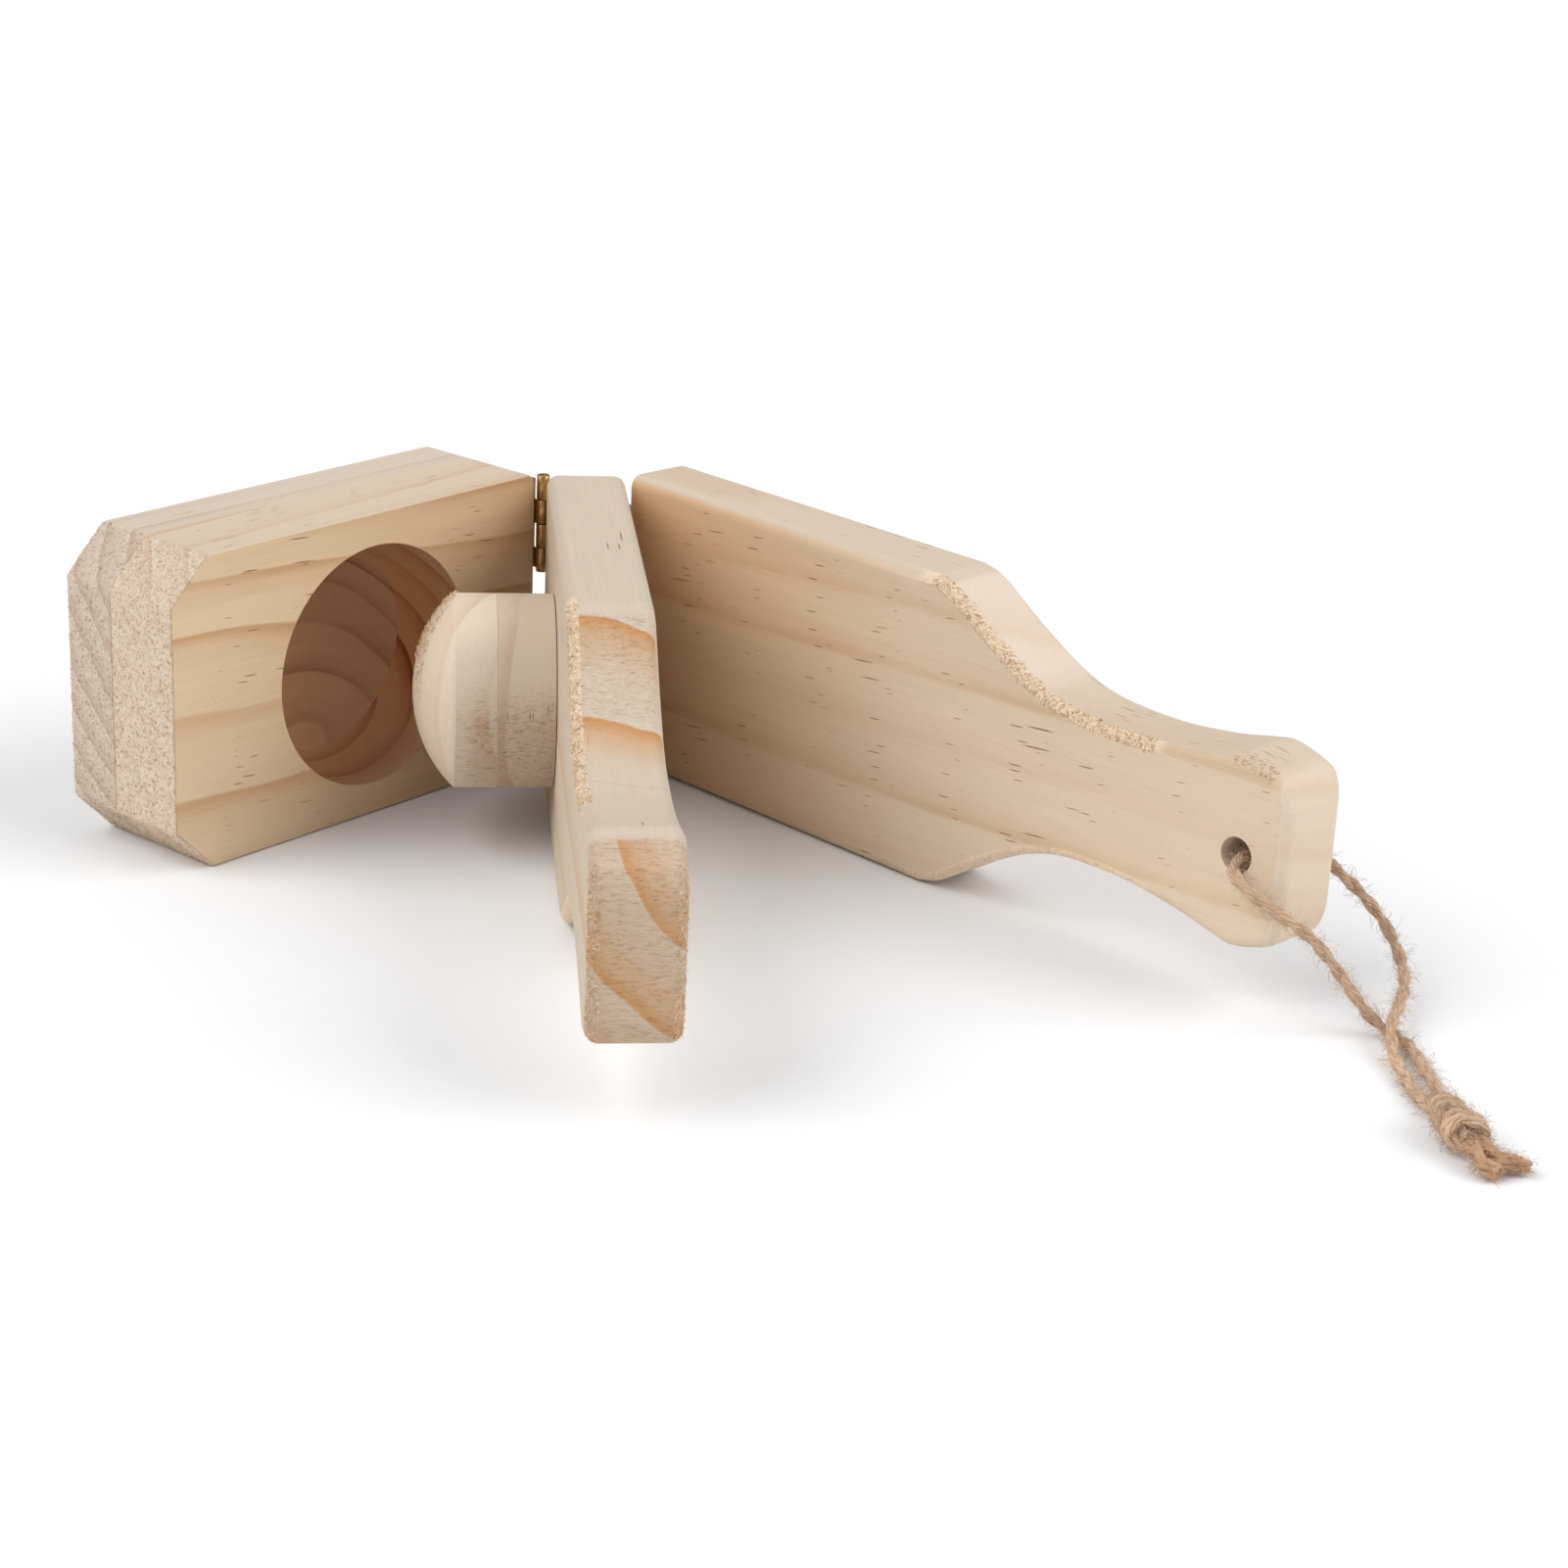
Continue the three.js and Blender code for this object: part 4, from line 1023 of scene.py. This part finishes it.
def twisted_cord_tree():
    """Two plies laid round each other along a path, each spun from several yarns the other way."""
    tree, given = tree_of("twisted cord", [
        ("Ply offset", "NodeSocketFloat"), ("Yarn offset", "NodeSocketFloat"),
        ("Yarn radius", "NodeSocketFloat"), ("Lay length", "NodeSocketFloat"),
        ("Spin length", "NodeSocketFloat"), ("Yarns in a ply", "NodeSocketInt"),
        ("Unevenness", "NodeSocketFloat"), ("Material", "NodeSocketMaterial")])
    line = add(tree, "GeometryNodeMeshToCurve", (), [given["Geometry"]])
    yarn_total = add(tree, MATH, TIMES, [given["Yarns in a ply"], 2])
    copies = add(tree, "GeometryNodeDuplicateElements", {"domain": "SPLINE"}, {
        "Geometry": line, "Amount": yarn_total})
    number = copies.outputs["Duplicate Index"]
    length = add(tree, "GeometryNodeSplineParameter").outputs["Length"]
    ply = add(tree, MATH, {"operation": "MODULO"}, [number, 2])
    yarn = add(tree, MATH, OVER, [number, yarn_total])
    normal, tangent = add(tree, "GeometryNodeInputNormal"), add(tree, "GeometryNodeInputTangent")
    side = add(tree, VECTOR, {"operation": "CROSS_PRODUCT"}, [tangent, normal])
    offsets = []
    for turn_length, share, turns, reach in (
        ("Lay length", ply, 0.5, "Ply offset"), ("Spin length", yarn, 1.0, "Yarn offset"),
    ):
        per_metre = add(tree, MATH, OVER, [length, given[turn_length]])
        start = add(tree, MATH, TIMES_PLUS, [share, turns, per_metre])
        angle = add(tree, MATH, TIMES, [start, 2 * math.pi])
        for function, axis in (("COSINE", normal), ("SINE", side)):
            wave = add(tree, MATH, {"operation": function}, [angle])
            far = add(tree, MATH, TIMES, [wave, given[reach]])
            offsets.append(add(tree, VECTOR, {"operation": "SCALE"}, {0: axis, "Scale": far}))
    while len(offsets) > 1:
        offsets.append(add(tree, VECTOR, (), [offsets.pop(0), offsets.pop(0)]))
    own = add(tree, XYZ, (), [length, number])
    far_apart = add(tree, VECTOR, TIMES, [own, (420, 7.3, 1)])
    lumps = add(tree, NOISE, (), {"Vector": far_apart, "Scale": 1.0, "Detail": 1.0})
    centred = add(tree, VECTOR, MINUS, [lumps.outputs["Color"], (0.5, 0.5, 0.5)])
    uneven = add(tree, VECTOR, {"operation": "SCALE"}, {0: centred, "Scale": given["Unevenness"]})
    moved = add(tree, VECTOR, (), [offsets[0], uneven])
    laid = add(tree, "GeometryNodeSetPosition", (), {
        "Geometry": copies.outputs["Geometry"], "Offset": moved})
    kept = laid
    for name, value in (("along", length), ("yarn", number)):
        kept = add(tree, "GeometryNodeStoreNamedAttribute", ON_POINTS, {
            "Geometry": kept, "Name": name, "Value": value})
    section = add(tree, "GeometryNodeCurvePrimitiveCircle", (), {
        "Resolution": 7, "Radius": given["Yarn radius"]})
    factor = add(tree, "GeometryNodeSplineParameter").outputs["Factor"]
    marked = add(tree, "GeometryNodeStoreNamedAttribute", ON_POINTS, {
        "Geometry": section, "Name": "around", "Value": factor})
    skin = add(tree, "GeometryNodeCurveToMesh", (), {
        "Curve": kept, "Profile Curve": marked, "Fill Caps": True})
    smooth = add(tree, "GeometryNodeSetShadeSmooth", (), {"Geometry": skin, "Shade Smooth": True})
    return ended(tree, smooth, given["Material"])


def loose_fibres_tree():
    """Short bent fibres that stand out of a surface at random."""
    tree, given = tree_of("loose fibres", [
        ("Density", "NodeSocketFloat"), ("Seed", "NodeSocketInt"), ("Length", "NodeSocketFloat"),
        ("Thickness", "NodeSocketFloat"), ("Lift", "NodeSocketFloat"),
        ("Material", "NodeSocketMaterial")])
    roots = add(tree, "GeometryNodeDistributePointsOnFaces", {"distribute_method": "RANDOM"}, {
        "Mesh": given["Geometry"], "Density": given["Density"], "Seed": given["Seed"]})
    reach, lift = given["Length"], given["Lift"]
    high = add(tree, MATH, TIMES, [reach, lift])
    half = add(tree, MATH, TIMES, [reach, 0.45])
    low = add(tree, MATH, TIMES, [high, 0.75])
    bow = add(tree, MATH, TIMES, [reach, 0.16])
    middle = add(tree, XYZ, (), [half, bow, high])
    tip = add(tree, XYZ, (), {"X": reach, "Z": low})
    bend = add(tree, "GeometryNodeCurveQuadraticBezier", (), {
        "Resolution": 5, "Start": (0, 0, 0), "Middle": middle, "End": tip})
    section = add(tree, "GeometryNodeCurvePrimitiveCircle", (), {
        "Resolution": 3, "Radius": given["Thickness"]})
    fibre = add(tree, "GeometryNodeCurveToMesh", (), {
        "Curve": bend, "Profile Curve": section, "Fill Caps": True})
    spin = add(tree, "FunctionNodeRandomValue", {"data_type": "FLOAT_VECTOR"}, {
        0: (-0.5, -0.5, 0.0), 1: (0.5, 0.5, 2 * math.pi), "Seed": given["Seed"]})
    spun = add(tree, "FunctionNodeRotateRotation", {"rotation_space": "LOCAL"}, [
        roots.outputs["Rotation"], spin])
    size = add(tree, "FunctionNodeRandomValue", {"data_type": "FLOAT"}, {
        2: 0.35, 3: 1.0, "Seed": given["Seed"]})
    planted = add(tree, "GeometryNodeInstanceOnPoints", (), {
        "Points": roots.outputs["Points"], "Instance": fibre, "Rotation": spun, "Scale": size})
    return ended(tree, planted, given["Material"])


cord_tree = twisted_cord_tree()
fibre_tree = loose_fibres_tree()


# ---- Torn fibres --------------------------------------------------------------------------------

TUFT = {"Density": 5.0e6, "Seed": 11, "Length": 0.85 * MM, "Thickness": 0.085 * MM, "Lift": 0.5,
        "Material": torn_fibre_pine}
FACING_IN = (-0.97, -0.2)  # how far a rounded edge faces along x where fibres stand up from it


def torn_fibres(name, board, body, chosen, changes=()):
    """Fibres that stand up from a board's chosen faces. A face is chosen by its distance from the
    hinge end and by the way it faces, both on the closed board."""
    back = swung(body).inverted()
    turn = back.to_3x3().normalized()
    bm = bmesh.new()
    bm.from_mesh(board.data)
    bmesh.ops.delete(bm, context="FACES", geom=[
        face for face in bm.faces
        if not chosen(-PIN_TO_END - (back @ face.calc_center_median()).y, turn @ face.normal)])
    mesh = bpy.data.meshes.new("torn faces")
    bm.to_mesh(mesh)
    bm.free()
    settings = {**TUFT, **dict(changes)}
    return piece(name, grown(fibre_tree, mesh, settings), torn_fibre_pine, body)


def on_shoulder_round(along, facing):
    return BODY_LENGTH - 1.5 < along < 171 and -0.985 < facing.x < FACING_IN[1] and facing.z > 0


def on_handle_end(along, facing):
    return along > PADDLE_LENGTH - 3 and -FACING_IN[1] < abs(facing.x) < -FACING_IN[0]


def on_handle_top(along, facing):
    return 192 < along < 203 and FACING_IN[0] < facing.x < FACING_IN[1] and facing.z > 0.2


def on_plunger_rim(along, facing):
    """The far shoulder of the dome, in a band that leans across it."""
    leaning = 0.93 * facing.y - 0.35 * facing.z - 0.13 * facing.x
    return FACING_IN[0] < facing.x < FACING_IN[1] and facing.z > 0.05 and abs(leaning) < 0.22


def on_block_end(along, facing):
    return along > BLOCK_LENGTH - BLOCK_CHAMFER and facing.y < -0.3


for name, board, body, slot, chosen, changes in (
    ("middle_shoulder_tufts", middle_board, "middle_paddle", "paddle_pine", on_shoulder_round, {}),
    ("plain_shoulder_tufts", plain_board, "plain_paddle", "paddle_pine", on_shoulder_round, {}),
    ("middle_handle_tufts", middle_board, "middle_paddle", "paddle_pine", on_handle_end,
     {"Density": 3.2e6, "Seed": 12}),
    ("plain_handle_tufts", plain_board, "plain_paddle", "paddle_pine", on_handle_top,
     {"Density": 3.2e6, "Seed": 13}),
    ("plunger_rim_tufts", tip_ply, "middle_paddle", "plunger_pine", on_plunger_rim,
     {"Density": 2.6e6, "Seed": 14, "Length": 1.1 * MM}),
    ("block_face_end_tufts", inner_board, "cup_block", "block_pine", on_block_end,
     {"Density": 1.3e6, "Seed": 15, "Length": 0.6 * MM, "Thickness": 0.09 * MM}),
    ("block_back_end_tufts", outer_board, "cup_block", "block_pine", on_block_end,
     {"Density": 1.3e6, "Seed": 16, "Length": 0.6 * MM, "Thickness": 0.09 * MM}),
):
    torn_fibres(name, board, body, chosen, changes)


# ---- The cord's pieces --------------------------------------------------------------------------

PATH_STEP = 0.6  # between the points of a path, in millimetres
CORD_LAY = {
    "Ply offset": 0.52 * MM, "Yarn offset": 0.58 * MM, "Yarn radius": 0.36 * MM,
    "Lay length": 13 * MM, "Spin length": -9 * MM, "Yarns in a ply": 6, "Unevenness": 0.4 * MM,
    "Material": jute}
KNOT_LAY = {
    **CORD_LAY, "Yarn radius": 0.42 * MM, "Unevenness": 0.6 * MM, "Lay length": 10 * MM}
TAIL_LAY = {
    **CORD_LAY, "Ply offset": 0.62 * MM, "Yarn offset": 0.85 * MM, "Yarn radius": 0.4 * MM,
    "Yarns in a ply": 9, "Unevenness": 1.1 * MM, "Material": jute_cut_end}
HAIR = {"Density": 0.42e6, "Seed": 4, "Length": 3.4 * MM, "Thickness": 0.042 * MM, "Lift": 0.55,
        "Material": jute}
FRAY = {**HAIR, "Density": 1.1e6, "Seed": 6, "Length": 2.2 * MM, "Material": jute_cut_end}


def knot_paths():
    """An overhand knot in the doubled cord: two strands wrapped slantwise round a core of three."""
    paths = []
    for strand in (-1, 1):
        points = []
        for k in range(33):
            t = k / 32
            turn = 2 * math.pi * (1.7 * t + 0.1)
            tuck = min(1.0, min(t, 1 - t) / 0.16)
            out = 2.7 * math.sin(tuck * math.pi / 2) + 0.5
            along = -6.2 + 12.0 * t + strand * 1.2 + 2.6 * math.cos(turn)
            points.append(KNOT_CENTRE + Vector((
                out * math.cos(turn), -along, out * 0.95 * math.sin(turn))))
        paths.append(smooth_path([tuple(p) for p in points], PATH_STEP))
    for start, end in (((165.9, -154.4, 3.2), TAIL_NEAR[0]), ((163.5, -154.4, 3.2), TAIL_FAR[0])):
        middle = (KNOT_CENTRE.x + (start[0] - 164.7), KNOT_CENTRE.y, KNOT_CENTRE.z)
        paths.append(smooth_path([start, middle, end], PATH_STEP))
    for side in (-0.9, 0.9):
        paths.append(smooth_path([
            (KNOT_CENTRE.x + side, KNOT_CENTRE.y + 5.4, KNOT_CENTRE.z - side),
            (KNOT_CENTRE.x - side, KNOT_CENTRE.y, KNOT_CENTRE.z + side),
            (KNOT_CENTRE.x + side, KNOT_CENTRE.y - 5.6, KNOT_CENTRE.z - side * 0.5)], PATH_STEP))
    return paths


def cord_piece(name, node, paths, lay, fibre):
    return piece(name, grown(cord_tree, wires(paths), lay), fibre, "plain_paddle", [node])


def fuzz_of(name, cords, hair, fibre):
    """Loose fibres on some cords; those that would pass through the table lie on it."""
    mesh = grown(fibre_tree, joined([cord.data for cord in cords]), hair)
    fuzz = piece(name, mesh, fibre, "plain_paddle")
    for point in fuzz.data.vertices:
        if point.co.z < TABLE_SKIN * MM:
            point.co.z = TABLE_SKIN * MM + (point.co.z - TABLE_SKIN * MM) * 0.04
    return fuzz


front_path, back_path = smooth_path(FRONT_STRAND, PATH_STEP), smooth_path(BACK_STRAND, PATH_STEP)
front_cord, back_cord, knot, tail_near, tail_far = (
    cord_piece(*row) for row in (
        ("front_strand_of_cord", "cord_front_strand", [front_path], CORD_LAY, jute),
        ("back_strand_of_cord", "cord_back_strand", [back_path], CORD_LAY, jute),
        ("overhand_knot", "cord_knot", knot_paths(), KNOT_LAY, jute),
        ("cut_tail_near", "cord_tail_near", [smooth_path(TAIL_NEAR, 0.5)], TAIL_LAY, jute_cut_end),
        ("cut_tail_far", "cord_tail_far", [smooth_path(TAIL_FAR, 0.5)], TAIL_LAY, jute_cut_end)))
fuzz = fuzz_of("loose_jute_fibres", (front_cord, back_cord, knot), HAIR, jute)
end_fuzz = fuzz_of("frayed_jute_fibres", (tail_near, tail_far), FRAY, jute_cut_end)
